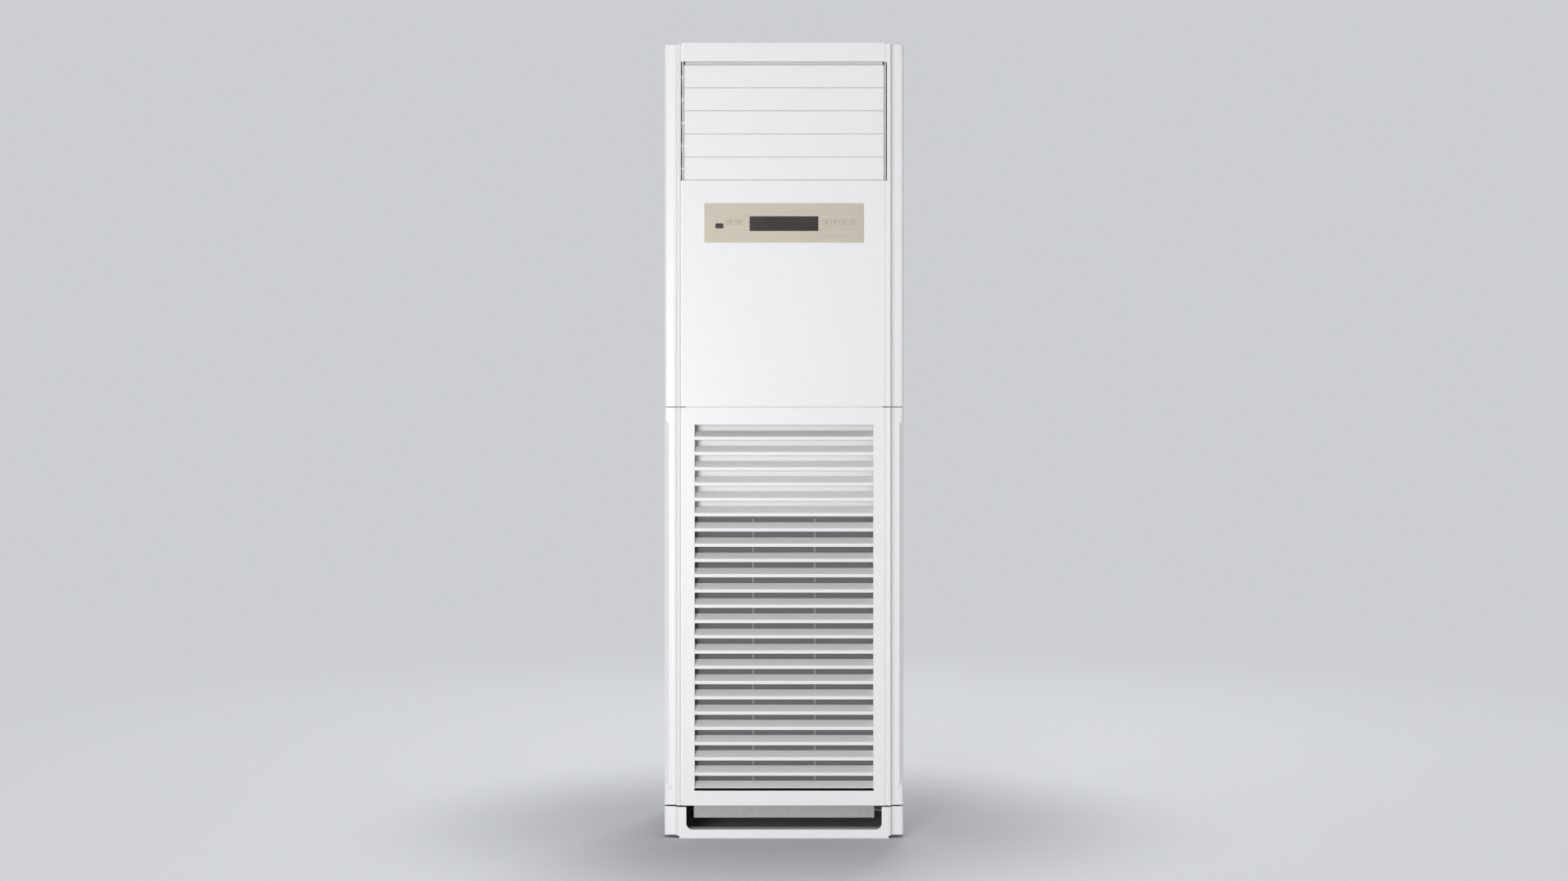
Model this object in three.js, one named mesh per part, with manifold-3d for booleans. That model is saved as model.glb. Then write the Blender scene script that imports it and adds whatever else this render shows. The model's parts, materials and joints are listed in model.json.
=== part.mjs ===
// Floor standing air conditioner: the indoor cabinet with its louvres, intake grille, blower and coil.
// Millimetres, +Z up, the front faces -Y. The origin is on the floor under the middle of the cabinet.

import * as THREE from 'three';
import { mergeVertices } from 'three/addons/utils/BufferGeometryUtils.js';
import Module from 'manifold-3d';

const wasm = await Module();
wasm.setup();

// ---------------------------------------------------------------------------
// Driving dimensions
// ---------------------------------------------------------------------------

// cabinet
const cabinetWidth = 550;
const cabinetDepth = 418;
const cabinetHeight = 1824;
const shellWall = 3;            // moulded front, base and top
const sheetWall = 1.2;          // folded steel
const seatGap = 0.3;            // between pieces that touch
const fitGap = 0.5;             // between pieces that are slid together
const returnDepth = 42;         // how far the front mouldings wrap round the sides
const tiltGap = 1.6;            // behind the returns, for the grille's lower corners as it tilts
const pillarTopDrop = 3;        // the pillars end this much below the top of the middle
const past = 1;                 // cutters reach this far past a face, joined parts sink this far in

// section of the pillars on both sides of the front
const pillarWidth = 43;
const grooveWidth = 4;
const grooveDepth = 3;
const beadRadius = 5;
const coveWidth = 11;
const pillarSetback = 12;       // outer strip of the pillar behind the face
const cornerRadius = 7;

// base
const baseHeight = 71.5;
const baseSeam = 3.5;
const baseOpeningMargin = 51;   // from the outer side to the toe opening
const baseBarHeight = 20;
const baseBarDepth = 38;
const baseSideLedge = 26;
const baseOpeningRadius = 14;
const baseCornerWidth = 35;
const baseCornerRaise = 6;
const baseCornerLength = 48;
const deckRise = 5.3;           // pan deck above the base's upper edge
const kickPlateInset = 67.5;
const kickPlateHeight = 34;
const kickPlateSetback = 20;
const deckFrontMargin = 5;      // from the seam to the wide part of the deck
const earThickness = 3;         // hinge ears, from the ends of the kick plate
const earInset = 10;
const earPinLength = 8;
const earFoot = 4;

// intake grille
const slotCount = 24;
const slotHeight = 27;
const slatFace = 8;
const slatRise = 13;
const slatDepth = 22;
const slatBack = 3;
const slotBottomMargin = 41;
const slotTopMargin = 40;
const slotSideMargin = 27;
const coveredSlots = 6;         // slots in front of the electrical box
const rebateWidth = 11;
const rebateDepth = 11;
const rebateBottomMargin = 52;
const rebateTopMargin = 39;
const rebateTaper = 22;
const lockScrewRadius = 5;
const lockScrewRise = 41;
const lockScrewInset = 12.5;
const lockScrewHead = 2.2;
const lockScrewLength = 14;
const lockScrewSlot = 1.2;
const hingeRadius = 2.5;
const hingeRise = 8;
const hingeSetback = 7;
const lugWidth = 9;
const lugWall = 3.5;
const lugHeightBelow = 5;
const lugHeightAbove = 6;

// air filter behind the grille
const filterThickness = 6;
const filterSetback = 27;
const filterBorder = 8;
const filterBarWidth = 5;
const filterMeshThickness = 0.8;
const filterLedgeRise = 24;
const railThickness = 2;
const railLip = 7;
const railTopGap = 3;

// upper front panel and air outlet
const panelSeam = 2;
const topStripHeight = 43;
const outletHeight = 273;
const outletFrameWall = 3;
const outletFrameDepth = 102;
const outletFrameGap = 2.5;     // from the panel's opening to the inner face of the frame

// horizontal louvres
const louvreCount = 5;
const louvrePitch = 52.9;
const louvreGap = 1.4;
const louvreThickness = 4.5;
const louvreSetback = 2;
const louvreLip = 3.5;          // how far each louvre reaches down behind the next one
const louvreLipThickness = 1.5;
const louvrePivotSetback = 12;
const louvreEndGap = 1.5;
const louvreBottomGap = 1.5;
const pinRadius = 3;
const pinClearance = 0.3;
const crankLength = 13;
const crankRestAngle = -55;     // degrees below the backward direction
const crankThickness = 3.5;
const crankPinRadius = 1.8;
const linkThickness = 3;
const linkWidth = 8;
const linkPinClearance = 0.4;
const louvreLugHalf = 14;
const louvreLugThickness = 3;
const louvreMotorRadius = 12;
const louvreMotorOffset = 17;   // middle of the motor behind the louvre's pivot
const louvreMotorLength = 20;
const motorPlate = 3;

// vertical vanes
const vaneCount = 7;
const vaneEndSpace = 38.5;      // from the outer vanes to the duct's walls
const vaneDepth = 60;
const vaneThickness = 2;
const vanePivotSetback = 72;
const vanePinRadius = 2.5;
const vaneLinkOffset = 18;
const vaneEndGap = 3;
const vaneFootGap = 7.5;
const vaneLinkRise = 2;
const vaneMotorRadius = 15;
const vaneMotorLength = 20;
const vaneMotorPlateHalf = 24;
const vaneMotorPlateDepth = 14;

// display and buttons
const displayWidth = 365;
const displayHeight = 90;
const displayBelowOutlet = 52;
const displayProud = 2;
const displayOverlap = 4.5;
const displayTrayDepth = 10;
const windowWidth = 157;
const windowHeight = 33;
const windowRise = 26.5;
const windowRecess = 0.3;
const buttonWidth = 15;
const buttonHeight = 10;
const buttonPitch = 20;
const buttonRise = 46;
const buttonTravel = 0.7;
const leftButtonStart = -124;
const leftButtonCount = 2;
const rightButtonStart = 97;
const rightButtonCount = 4;
const lensWidth = 18;
const lensHeight = 11;
const lensX = -148;
const lensRise = 38;
const boardThickness = 1.6;
const trayWall = 2;
const trayFloor = 1.2;
const boardRecess = 2.5;        // display board in front of the tray's rear edge
const plateCornerRadius = 1.5;
const windowFlange = 3;
const flangeThickness = 1.2;
const lensFlange = 2;
const lensCornerRadius = 3;
const buttonFlange = 1.3;
const buttonFlangeThickness = 0.8;
const buttonCornerRadius = 2;
const buttonRecess = 0.2;
const buttonStemRadius = 2;
const switchHeight = 2;
const switchSize = 6;
const receiverSize = 8;
const moduleInset = 10;         // light module, from the ends of the window
const moduleHeight = 24;
const moduleSetback = 3.2;

// blower
const wheelRadius = 160;
const wheelInnerRadius = 130;
const fanDepthMargin = 278;     // depth of the cabinet that the wheel leaves free
const wheelBlades = 32;
const bladeThickness = 1.4;
const bladeBend = 8;            // degrees from the inner to the outer edge
const wheelPlate = 2;
const wheelRingWidth = 12;
const wheelFrontGap = 22;
const wheelBackGap = 29;
const fanHeight = 385;          // axis above the floor
const inletRadius = 122;
const inletLip = 14;
const scrollStartRadius = 176;
const scrollEndRadius = 236;
const scrollSetback = 107;      // front of the scroll behind the face
const throatRightX = 60;
const throatRise = 14;
const throatAngle = 62;
const scrollSteps = 20;
const scrollPlate = 3;
const scrollWall = 2.5;
const shaftRadius = 6;
const shaftClearance = 0.3;
const hubRadius = 20;
const hubLength = 26;
const nutWidth = 19;
const nutHeight = 8;
const motorRadius = 68;
const motorLength = 82;
const motorBossRadius = 26;
const motorFlange = 10;
const motorFlangeThickness = 4;
const shaftDepthShare = 0.7;    // how far the shaft reaches into the motor
const bracketWidth = 180;
const bracketPlate = 3;
const bracketTopMargin = 95;    // above the fan's axis
const bracketFoot = 80;
const gussetRise = 150;
const gussetToe = 12;

// partition and electrical box
const partitionFlange = 20;
const partitionFrontMargin = 6;
const throatClearance = 4;
const passageOuter = 8;         // opening for the pipes, from the side and round their run
const passageInner = 46;
const passageFront = 36;
const passageRear = 20;
const boxDepth = 90;
const boxHeight = 206;
const boxSideMargin = 60;
const boxSetback = 42;
const coverOverlap = 4;
const coverReach = 3;           // past the sides and the top of the box
const coverGap = 2;             // above the filter
const coverHem = 12;
const boardStandoff = 12;
const boardLeftMargin = 25;
const boardRightMargin = 125;
const boardMargin = 16;         // above and below the main board
const postInset = 30;
const postShare = 0.85;
const postRadius = 4;
const boardParts = [            // left, right, height off the board, bottom, top
  [-110, -60, 46, 16, 76], [-40, 0, 34, 12, 56], [14, 34, 20, 16, 46], [44, 64, 20, 16, 46],
  [74, 94, 20, 16, 46], [-110, -30, 18, 96, 146], [0, 60, 12, 96, 136], [80, 120, 24, 86, 136],
];
const terminalWays = 5;
const terminalLeftGap = 18;     // from the main board
const terminalRightGap = 8;     // from the box's side
const terminalRise = 40;
const terminalHeight = 34;
const terminalDepth = 26;
const terminalStep = 10;

// coil, drain and pipes
const coilEndSpace = 50;        // between the coil's end plates and the sides
const coilLength = 530;
const coilThickness = 60;
const coilDepthMargin = 137;    // depth of the cabinet that the leaning coil leaves free
const coilFrontSpace = 78.5;    // from the face to the front end of its middle plane
const coilFootRise = 39.3;      // lower end of its middle plane above the pan's underside
const coilPlateWall = 2;
const coilPlateLip = 2;
const coilTabWidth = 34;
const coilTabThickness = 4;
const coilTabEnds = [90, 110];  // lower and upper tab from the coil's ends
const bendCount = 8;
const bendPitch = 62;
const bendStart = 40;
const bendReach = 16;
const bendHalf = 14;
const bendHeight = 9;
const panWidth = 92;
const panHeight = 40;
const panWall = 2.5;
const panSetback = 46;
const panRise = 962;
const panSpout = 12;
const spoutRadius = 7;
const spoutWall = 2;
const hoseRadius = 9;
const hoseInset = 20;
const hoseY = -100;
const pipeInset = 25;
const pipeRunHeights = [900, 500];
const flareNutLength = 22;
const flareNutWall = 4.5;
const flareNutSetback = 33;
const hoseDrop = 21;            // end of the hose below the middle of the pipe hole
const tubeSides = 8;
const tubeSteps = 34;
const coolantPipes = {          // place along the coil, depth and elbow of the run, end in the pipe hole
  gas_pipe: { radius: 8, along: 0, runY: 10, elbowZ: 220, endX: 18, endZ: 14 },
  liquid_pipe: { radius: 4.8, along: -40, runY: -14, elbowZ: 150, endX: -16, endZ: 8 },
};

// air guide and rear of the casing
const guideWall = 14;
const rearClearance = 3;        // wall bracket stands this far behind the rear panels
const skirtHeight = 15;
const flangeWidth = 14;
const pipeHoleRadius = 38;
const pipeHoleX = 165;
const pipeHoleZ = 190;
const glandRadius = 9;
const glandX = -90;
const glandZ = 150;
const glandLength = 16;
const ringLip = 4;              // lips of the grommet and the gland
const ringLipThickness = 2.5;
const grommetWall = 6;
const glandWall = 3.5;
const guideTopGap = 4;
const guideFoot = 30;           // below the duct's floor
const wallBracketWidth = 120;
const wallBracketHeight = 60;
const wallBracketDrop = 24;
const wallBracketHoleRadius = 3;

// ---------------------------------------------------------------------------
// Places worked out from the driving dimensions
// ---------------------------------------------------------------------------

const halfWidth = cabinetWidth / 2;
const frontY = -cabinetDepth / 2;
const faceY = frontY + displayProud;
const rearY = cabinetDepth / 2;
const casingRearY = rearY - rearClearance;
const seamY = faceY + returnDepth;
const faceHalf = halfWidth - pillarWidth;
const sheetInnerX = halfWidth - sheetWall;
const innerReachX = sheetInnerX - seatGap;

const grilleBottom = baseHeight + baseSeam;
const slotPitch = slotHeight + slatFace;
const slotFieldBottom = grilleBottom + slotBottomMargin;
const slotFieldTop = slotFieldBottom + slotCount * slotPitch - slatFace;
const slotFieldHalf = faceHalf - slotSideMargin;
const grilleTop = slotFieldTop + slotTopMargin;
const coverBottom = slotFieldTop - coveredSlots * slotPitch + coverOverlap;
const deckTop = baseHeight + deckRise + sheetWall;
const sideBottom = baseHeight + fitGap;

const upperBottom = grilleTop + panelSeam;
const outletTop = cabinetHeight - topStripHeight;
const outletBottom = outletTop - outletHeight;
const outletHalf = faceHalf + grooveWidth;
const pillarTop = cabinetHeight - pillarTopDrop;
const sideTop = pillarTop - skirtHeight - fitGap;

const hingeY = faceY + hingeSetback;
const hingeZ = grilleBottom + hingeRise;
const earX = halfWidth - kickPlateInset - earInset;
const railOuter = slotFieldHalf + railLip + railThickness + fitGap + 1;
const railBack = faceY + filterSetback + filterThickness + fitGap + railThickness;
const lockScrewX = halfWidth - lockScrewInset;

const frameInnerX = outletHalf - outletFrameGap - outletFrameWall;
const frameOuterX = frameInnerX + outletFrameWall;
const frameFrontY = faceY + grooveDepth + shellWall + fitGap;
const frameBackY = frameFrontY + outletFrameDepth;
const frameFloorZ = outletBottom - outletFrameGap;
const frameCeilingZ = outletTop + louvreBottomGap;

const louvreHeight = louvrePitch - louvreGap;
const louvreHalf = frameInnerX - louvreEndGap;
const louvrePivotY = faceY + louvrePivotSetback;
const louvreZ = (row) => outletBottom + louvreBottomGap + louvrePitch * (row + 0.5);
const crankAngle = THREE.MathUtils.degToRad(crankRestAngle);
const crankY = crankLength * Math.cos(crankAngle);
const crankZ = crankLength * Math.sin(crankAngle);
const crankX = -frameOuterX - 1;
const linkX = crankX - crankThickness - 0.6;

const vanePitch = (2 * (frameInnerX - vaneEndSpace)) / (vaneCount - 1);
const vanePivotY = faceY + vanePivotSetback;
const vaneX = (column) => (column - (vaneCount - 1) / 2) * vanePitch;

const displayTop = outletBottom - displayBelowOutlet;
const displayBottom = displayTop - displayHeight;
const plateBackY = faceY - seatGap;
const trayFloorY = faceY + trayFloor;
const trayBackY = faceY + displayTrayDepth;
const boardFrontY = trayBackY - boardRecess;
const windowZ = displayBottom + windowRise + windowHeight / 2;
const buttonZ = displayBottom + buttonRise;
const lensZ = displayBottom + lensRise;
const buttonRow = (start, count) => Array.from({ length: count }, (_, index) => start + index * buttonPitch);
const buttonXs = [
  ...buttonRow(leftButtonStart, leftButtonCount),
  ...buttonRow(rightButtonStart, rightButtonCount),
];

const coilWidth = cabinetWidth - 2 * coilEndSpace;
const coilRun = cabinetDepth - coilDepthMargin;
const leanAngle = Math.asin(coilRun / coilLength);
const coilCentreY = faceY + coilFrontSpace + coilRun / 2;
const coilCentreZ = panRise + coilFootRise + (coilLength * Math.cos(leanAngle)) / 2;

const wheelWidth = cabinetDepth - fanDepthMargin;
const fanFrontY = faceY + scrollSetback;
const wheelFrontY = fanFrontY + wheelFrontGap;
const wheelBackY = wheelFrontY + wheelWidth;
const scrollBackY = wheelBackY + wheelBackGap;
const bracketBackY = scrollBackY + seatGap + bracketPlate;
const motorFrontY = bracketBackY + seatGap;
const partitionBottom = coverBottom - coverOverlap;
const partitionTop = partitionBottom + sheetWall;
const nutFrontY = wheelBackY - hubLength - seatGap - nutHeight;

const boxHalf = halfWidth - boxSideMargin;
const boxFrontY = faceY + boxSetback;
const boxBackY = boxFrontY + boxDepth;
const boxBottomZ = partitionTop + seatGap;
const boxTopZ = boxBottomZ + boxHeight;
const boardLeft = -boxHalf + boardLeftMargin;
const boardRight = boxHalf - boardRightMargin;
const boardX = (boardLeft + boardRight) / 2;

const pipeRunX = halfWidth - pipeInset;
const hoseX = halfWidth - hoseInset;

// ---------------------------------------------------------------------------
// Solids
// ---------------------------------------------------------------------------

/** A closed solid from a geometry whose shared vertices are merged. */
function solid(geometry) {
  const bare = geometry.clone();
  bare.deleteAttribute('normal');
  bare.deleteAttribute('uv');
  const merged = mergeVertices(bare, 1e-4);
  const index = merged.index.array;
  const triangles = [];
  for (let start = 0; start < index.length; start += 3) {
    const [a, b, c] = index.slice(start, start + 3);
    if (a !== b && b !== c && c !== a) triangles.push([a, b, c]);
  }
  if (signedVolume(merged.attributes.position, triangles) < 0) {
    triangles.forEach((corners) => corners.reverse());
  }
  return new wasm.Manifold(new wasm.Mesh({
    numProp: 3,
    vertProperties: Float32Array.from(merged.attributes.position.array),
    triVerts: Uint32Array.from(triangles.flat()),
  }));
}

/** Volume inside a mesh, negative where its faces point inwards. */
function signedVolume(position, triangles) {
  const corner = (index) => new THREE.Vector3().fromBufferAttribute(position, index);
  return triangles.reduce((sum, [a, b, c]) => sum + corner(a).dot(corner(b).cross(corner(c))) / 6, 0);
}

/** The geometry of a solid. */
function geometryOf(shape) {
  const mesh = shape.getMesh();
  const geometry = new THREE.BufferGeometry();
  geometry.setAttribute('position', new THREE.BufferAttribute(mesh.vertProperties, 3));
  geometry.setIndex(new THREE.BufferAttribute(mesh.triVerts, 1));
  geometry.computeVertexNormals();
  return geometry;
}

const join = (first, ...others) => others.reduce((sum, other) => sum.add(other), first);
const cut = (first, ...others) => others.reduce((rest, other) => rest.subtract(other), first);

/** Two numbers in rising order, as they are given or on the other side of the middle. */
const span = (side, a, b) => (side > 0 ? [a, b] : [-b, -a]);

/** A box between two corners. */
function block(x0, x1, y0, y1, z0, z1) {
  const geometry = new THREE.BoxGeometry(x1 - x0, y1 - y0, z1 - z0);
  geometry.translate((x0 + x1) / 2, (y0 + y1) / 2, (z0 + z1) / 2);
  return solid(geometry);
}

/** An outline of [u, v] points pushed straight along an axis, between two places on it. */
function prism(axis, outline, from, to) {
  const shape = new THREE.Shape(outline.map(([u, v]) => new THREE.Vector2(u, v)));
  const geometry = new THREE.ExtrudeGeometry(shape, { depth: to - from, bevelEnabled: false });
  const x = new THREE.Vector3(1, 0, 0);
  const y = new THREE.Vector3(0, 1, 0);
  const z = new THREE.Vector3(0, 0, 1);
  const turn = new THREE.Matrix4();
  if (axis === 'x') {
    geometry.applyMatrix4(turn.makeBasis(y, z, x));
    geometry.translate(from, 0, 0);
  } else if (axis === 'y') {
    geometry.applyMatrix4(turn.makeBasis(x, z, y.clone().negate()));
    geometry.translate(0, to, 0);
  } else {
    geometry.translate(0, 0, from);
  }
  return solid(geometry);
}

/** A round bar along an axis, given the two other coordinates of its centre line in X, Y, Z order. */
function rod(axis, a, b, radius, from, to, sides = 16) {
  const geometry = new THREE.CylinderGeometry(radius, radius, to - from, sides);
  const middle = (from + to) / 2;
  if (axis === 'x') {
    geometry.rotateZ(Math.PI / 2);
    geometry.translate(middle, a, b);
  } else if (axis === 'y') {
    geometry.translate(a, middle, b);
  } else {
    geometry.rotateX(Math.PI / 2);
    geometry.translate(a, b, middle);
  }
  return solid(geometry);
}

/** A ring turned about a line along Y through (x, z), from a closed profile of [radius, y]. */
function turnedY(x, z, profile, sides = 32) {
  const points = profile.map(([radius, y]) => new THREE.Vector2(radius, y));
  const onAxis = profile[0][0] === 0;
  const geometry = new THREE.LatheGeometry(onAxis ? points : [...points, points[0]], sides);
  geometry.translate(x, 0, z);
  return solid(geometry);
}

/** Points of an arc, angles in degrees. */
function arc(centreX, centreY, radiusX, radiusY, from, to, steps) {
  return Array.from({ length: steps + 1 }, (_, step) => {
    const angle = THREE.MathUtils.degToRad(from + ((to - from) * step) / steps);
    return [centreX + radiusX * Math.cos(angle), centreY + radiusY * Math.sin(angle)];
  });
}

/** A rectangle with round corners. */
function roundedRectangle(width, height, radius, centreX = 0, centreY = 0) {
  const across = width / 2 - radius;
  const up = height / 2 - radius;
  const corners = [[across, up, 0], [-across, up, 90], [-across, -up, 180], [across, -up, 270]];
  return corners.flatMap(([u, v, start]) => arc(centreX + u, centreY + v, radius, radius,
    start, start + 90, 4));
}

/** An outline on the other side of the middle. */
const mirrored = (points) => points.map(([u, v]) => [-u, v]).reverse();

/** An outline on the right for side 1, on the left for side -1. */
const onSide = (side, outline) => (side > 0 ? outline : mirrored(outline));

/** Two circles and the straight band round them, as an outline. */
function lozenge(u0, v0, radius0, u1, v1, radius1) {
  const lean = THREE.MathUtils.radToDeg(Math.atan2(v1 - v0, u1 - u0));
  return [
    ...arc(u1, v1, radius1, radius1, lean - 80, lean + 80, 6),
    ...arc(u0, v0, radius0, radius0, lean + 100, lean + 260, 6),
  ];
}

const both = (half) => [...half, ...mirrored(half)];

// ---------------------------------------------------------------------------
// Finishes
// ---------------------------------------------------------------------------

const finishes = {
  whiteShell: { color: 0xf1f1f1, roughness: 0.45, metalness: 0 },
  whiteSteel: { color: 0xeeeeee, roughness: 0.5, metalness: 0.1 },
  whiteInside: { color: 0xe4e4e4, roughness: 0.55, metalness: 0 },
  zinc: { color: 0xa8abac, roughness: 0.45, metalness: 0.8 },
  champagne: { color: 0xcdc6b4, roughness: 0.38, metalness: 0.85 },
  smoke: { color: 0x3a302a, roughness: 0.12, metalness: 0 },
  darkPlastic: { color: 0x2b2c2e, roughness: 0.6, metalness: 0 },
  filterMesh: { color: 0x55585a, roughness: 0.8, metalness: 0 },
  foam: { color: 0xf3f3f0, roughness: 0.9, metalness: 0 },
  aluminium: { color: 0xb9bcbf, roughness: 0.4, metalness: 0.9 },
  copper: { color: 0xb8704a, roughness: 0.35, metalness: 0.95 },
  steel: { color: 0x9a9c9e, roughness: 0.35, metalness: 0.9 },
  circuit: { color: 0x2f6b45, roughness: 0.5, metalness: 0 },
  rubber: { color: 0x2a2a2a, roughness: 0.85, metalness: 0 },
};

const cabinet = new THREE.Group();

/** Adds one named piece with its own material to the cabinet. */
function addPiece(name, shape, finish, position = [0, 0, 0], rotation = [0, 0, 0]) {
  const mesh = new THREE.Mesh(geometryOf(shape), new THREE.MeshStandardMaterial(finishes[finish]));
  mesh.name = name;
  mesh.position.set(...position);
  mesh.rotation.set(...rotation);
  cabinet.add(mesh);
}

// ---------------------------------------------------------------------------
// Section of the front mouldings
// ---------------------------------------------------------------------------

const beadX = faceHalf + grooveWidth + beadRadius;
const coveX = beadX + beadRadius;
const stripX = coveX + coveWidth;
const stripY = faceY + pillarSetback;
const cornerX = halfWidth - cornerRadius;
const cornerY = stripY + cornerRadius;

/** Outside of the right half of the front, from the face to the rear edge of the side return. */
function outerHalf(withGroove, rear) {
  const grooveFloor = faceY + grooveDepth;
  const startAngle = 180 + THREE.MathUtils.radToDeg(Math.asin((beadRadius - grooveDepth) / beadRadius));
  const groove = [
    [faceHalf, faceY],
    [faceHalf + 0.6, grooveFloor],
    ...arc(beadX, faceY + beadRadius, beadRadius, beadRadius, startAngle, 360, 6),
  ];
  const plain = arc(beadX, faceY + beadRadius, beadRadius, beadRadius, 270, 360, 4);
  return [
    ...(withGroove ? groove : plain),
    ...arc(stripX, faceY + beadRadius, -coveWidth, pillarSetback - beadRadius, 0, 90, 4).slice(1),
    ...arc(cornerX, cornerY, cornerRadius, cornerRadius, 270, 360, 4),
    [halfWidth, rear],
  ];
}

/** Inside of the right half of the front, from the rear edge of the side return to the face. */
function innerHalf(rear, inset = 0) {
  const shift = (x, y) => [x - inset, y + inset];
  return [
    [halfWidth - shellWall - inset, rear],
    shift(halfWidth - shellWall, cornerY + cornerRadius + 1),
    shift(cornerX - cornerRadius + 1, stripY + shellWall + 1),
    shift(coveX + coveWidth / 4, stripY + shellWall - 0.5),
    shift(beadX + 1, faceY + 2 * shellWall + 1),
    shift(beadX - 2, faceY + grooveDepth + shellWall),
    shift(faceHalf - shellWall, faceY + grooveDepth + shellWall),
    shift(faceHalf - shellWall, faceY + shellWall),
  ];
}

/** The thin wall that the front mouldings are made of, between two heights. */
function frontShell(withGroove, bottom, top) {
  return prism('z', both([...outerHalf(withGroove, seamY), ...innerHalf(seamY)]), bottom, top);
}

// ---------------------------------------------------------------------------
// Base and casing
// ---------------------------------------------------------------------------

/** White base: a ring with a toe opening in front and corners that stand clear of the floor. */
function baseSurround() {
  const outline = both(outerHalf(false, casingRearY));
  const hollow = both(innerHalf(casingRearY - shellWall));
  const openingTop = baseHeight + 2 * baseOpeningRadius;
  const opening = roundedRectangle(cabinetWidth - 2 * baseOpeningMargin, openingTop - baseBarHeight,
    baseOpeningRadius, 0, (openingTop + baseBarHeight) / 2);
  const barHalf = halfWidth - baseCornerWidth;
  const barBack = faceY + baseBarDepth;
  const centreHole = block(-halfWidth + baseSideLedge, halfWidth - baseSideLedge,
    barBack, casingRearY - baseBarDepth, -past, shellWall + past);
  const ring = cut(prism('z', outline, 0, baseHeight),
    prism('z', hollow, shellWall, baseHeight + past),
    centreHole,
    prism('y', opening, faceY - past, barBack));
  const ledge = block(-barHalf, barHalf, faceY + past, barBack, baseBarHeight - shellWall, baseBarHeight);
  const corner = (side) => block(...span(side, barHalf, halfWidth + past),
    faceY - past, faceY + baseCornerLength, -past, baseCornerRaise);
  return cut(join(ring, ledge), corner(1), corner(-1));
}

/** Zinc-coated pan: deck, side and rear flanges, the kick plate in front and the two hinge ears. */
function basePan() {
  const panHalf = halfWidth - shellWall - seatGap;
  const back = casingRearY - shellWall - seatGap;
  const tongueFront = faceY + kickPlateSetback;
  const sideFront = seamY + deckFrontMargin;
  const footZ = shellWall + seatGap;
  const deckBottom = deckTop - sheetWall;
  const tongueHalf = halfWidth - flangeWidth - fitGap;
  const kickHalf = halfWidth - kickPlateInset;
  const flangeX = panHalf - sheetWall;
  let pan = join(
    block(-panHalf, panHalf, sideFront, back, deckBottom, deckTop),
    block(-tongueHalf, tongueHalf, tongueFront, sideFront + past, deckBottom, deckTop),
    block(-kickHalf, kickHalf, tongueFront, tongueFront + sheetWall, deckTop - kickPlateHeight, deckTop),
    block(-panHalf, -flangeX, sideFront, back, footZ, deckTop),
    block(flangeX, panHalf, sideFront, back, footZ, deckTop),
    block(-panHalf, panHalf, back - sheetWall, back, footZ, deckTop),
  );
  const earNose = shellWall + fitGap;
  const earBottom = deckTop - sheetWall / 2;
  const ear = [
    [tongueFront + earFoot, earBottom],
    [tongueFront + earFoot, hingeZ + earNose],
    [hingeY, hingeZ + earNose],
    [hingeY - earNose, hingeZ],
    [hingeY, hingeZ - earNose],
    [tongueFront, earBottom],
  ];
  for (const side of [-1, 1]) {
    pan = join(pan,
      prism('x', ear, ...span(side, earX, earX + earThickness)),
      rod('x', hingeY, hingeZ, hingeRadius, ...span(side, earX, earX + earThickness + earPinLength), 12));
  }
  return pan;
}

/** Steel side sheet with a flange folded inwards at the front and the rear. */
function sidePanel(side) {
  const front = seamY + tiltGap;
  const rearFlange = casingRearY - sheetWall - seatGap;
  const outline = [
    [halfWidth - flangeWidth, front],
    [halfWidth, front],
    [halfWidth, rearFlange],
    [halfWidth - flangeWidth, rearFlange],
    [halfWidth - flangeWidth, rearFlange - sheetWall],
    [sheetInnerX, rearFlange - sheetWall],
    [sheetInnerX, front + sheetWall],
    [halfWidth - flangeWidth, front + sheetWall],
  ];
  return prism('z', onSide(side, outline), sideBottom, sideTop);
}

/** Flat steel sheet that closes the rear between two heights. */
function rearPanel(bottom, top) {
  return block(-halfWidth + fitGap, halfWidth - fitGap, casingRearY - sheetWall, casingRearY, bottom, top);
}

function lowerRearPanel() {
  return cut(rearPanel(sideBottom, grilleTop),
    rod('y', pipeHoleX, pipeHoleZ, pipeHoleRadius, casingRearY - sheetWall - past, casingRearY + past, 32),
    rod('y', glandX, glandZ, glandRadius + seatGap, casingRearY - sheetWall - past, casingRearY + past, 20));
}

/** Moulded lid: a plate that fills the top of the front moulding, with a skirt over the side sheets. */
function topCover() {
  const clear = 0.4;
  const front = seamY + tiltGap;
  const plate = [
    [halfWidth, casingRearY],
    [halfWidth, front],
    [halfWidth - shellWall - clear, front],
    ...innerHalf(front, clear).slice(1),
  ];
  const skirt = [
    [halfWidth, front], [halfWidth, casingRearY], [-halfWidth, casingRearY], [-halfWidth, front],
    [-halfWidth + shellWall, front], [-halfWidth + shellWall, casingRearY - shellWall],
    [halfWidth - shellWall, casingRearY - shellWall], [halfWidth - shellWall, front],
  ];
  return join(prism('z', both(plate), pillarTop - shellWall, pillarTop),
    prism('z', skirt, pillarTop - skirtHeight, pillarTop - shellWall / 2));
}

/** Plate at the top of the rear that a strap to the wall is screwed to. */
function wallBracket() {
  const top = sideTop - wallBracketDrop;
  const plate = block(-wallBracketWidth / 2, wallBracketWidth / 2, casingRearY + seatGap, rearY,
    top - wallBracketHeight, top);
  const holes = [-1, 1].map((side) => rod('y', side * wallBracketWidth / 3, top - wallBracketHeight / 2,
    wallBracketHoleRadius, casingRearY - past, rearY + past, 12));
  return cut(plate, ...holes);
}

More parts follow.
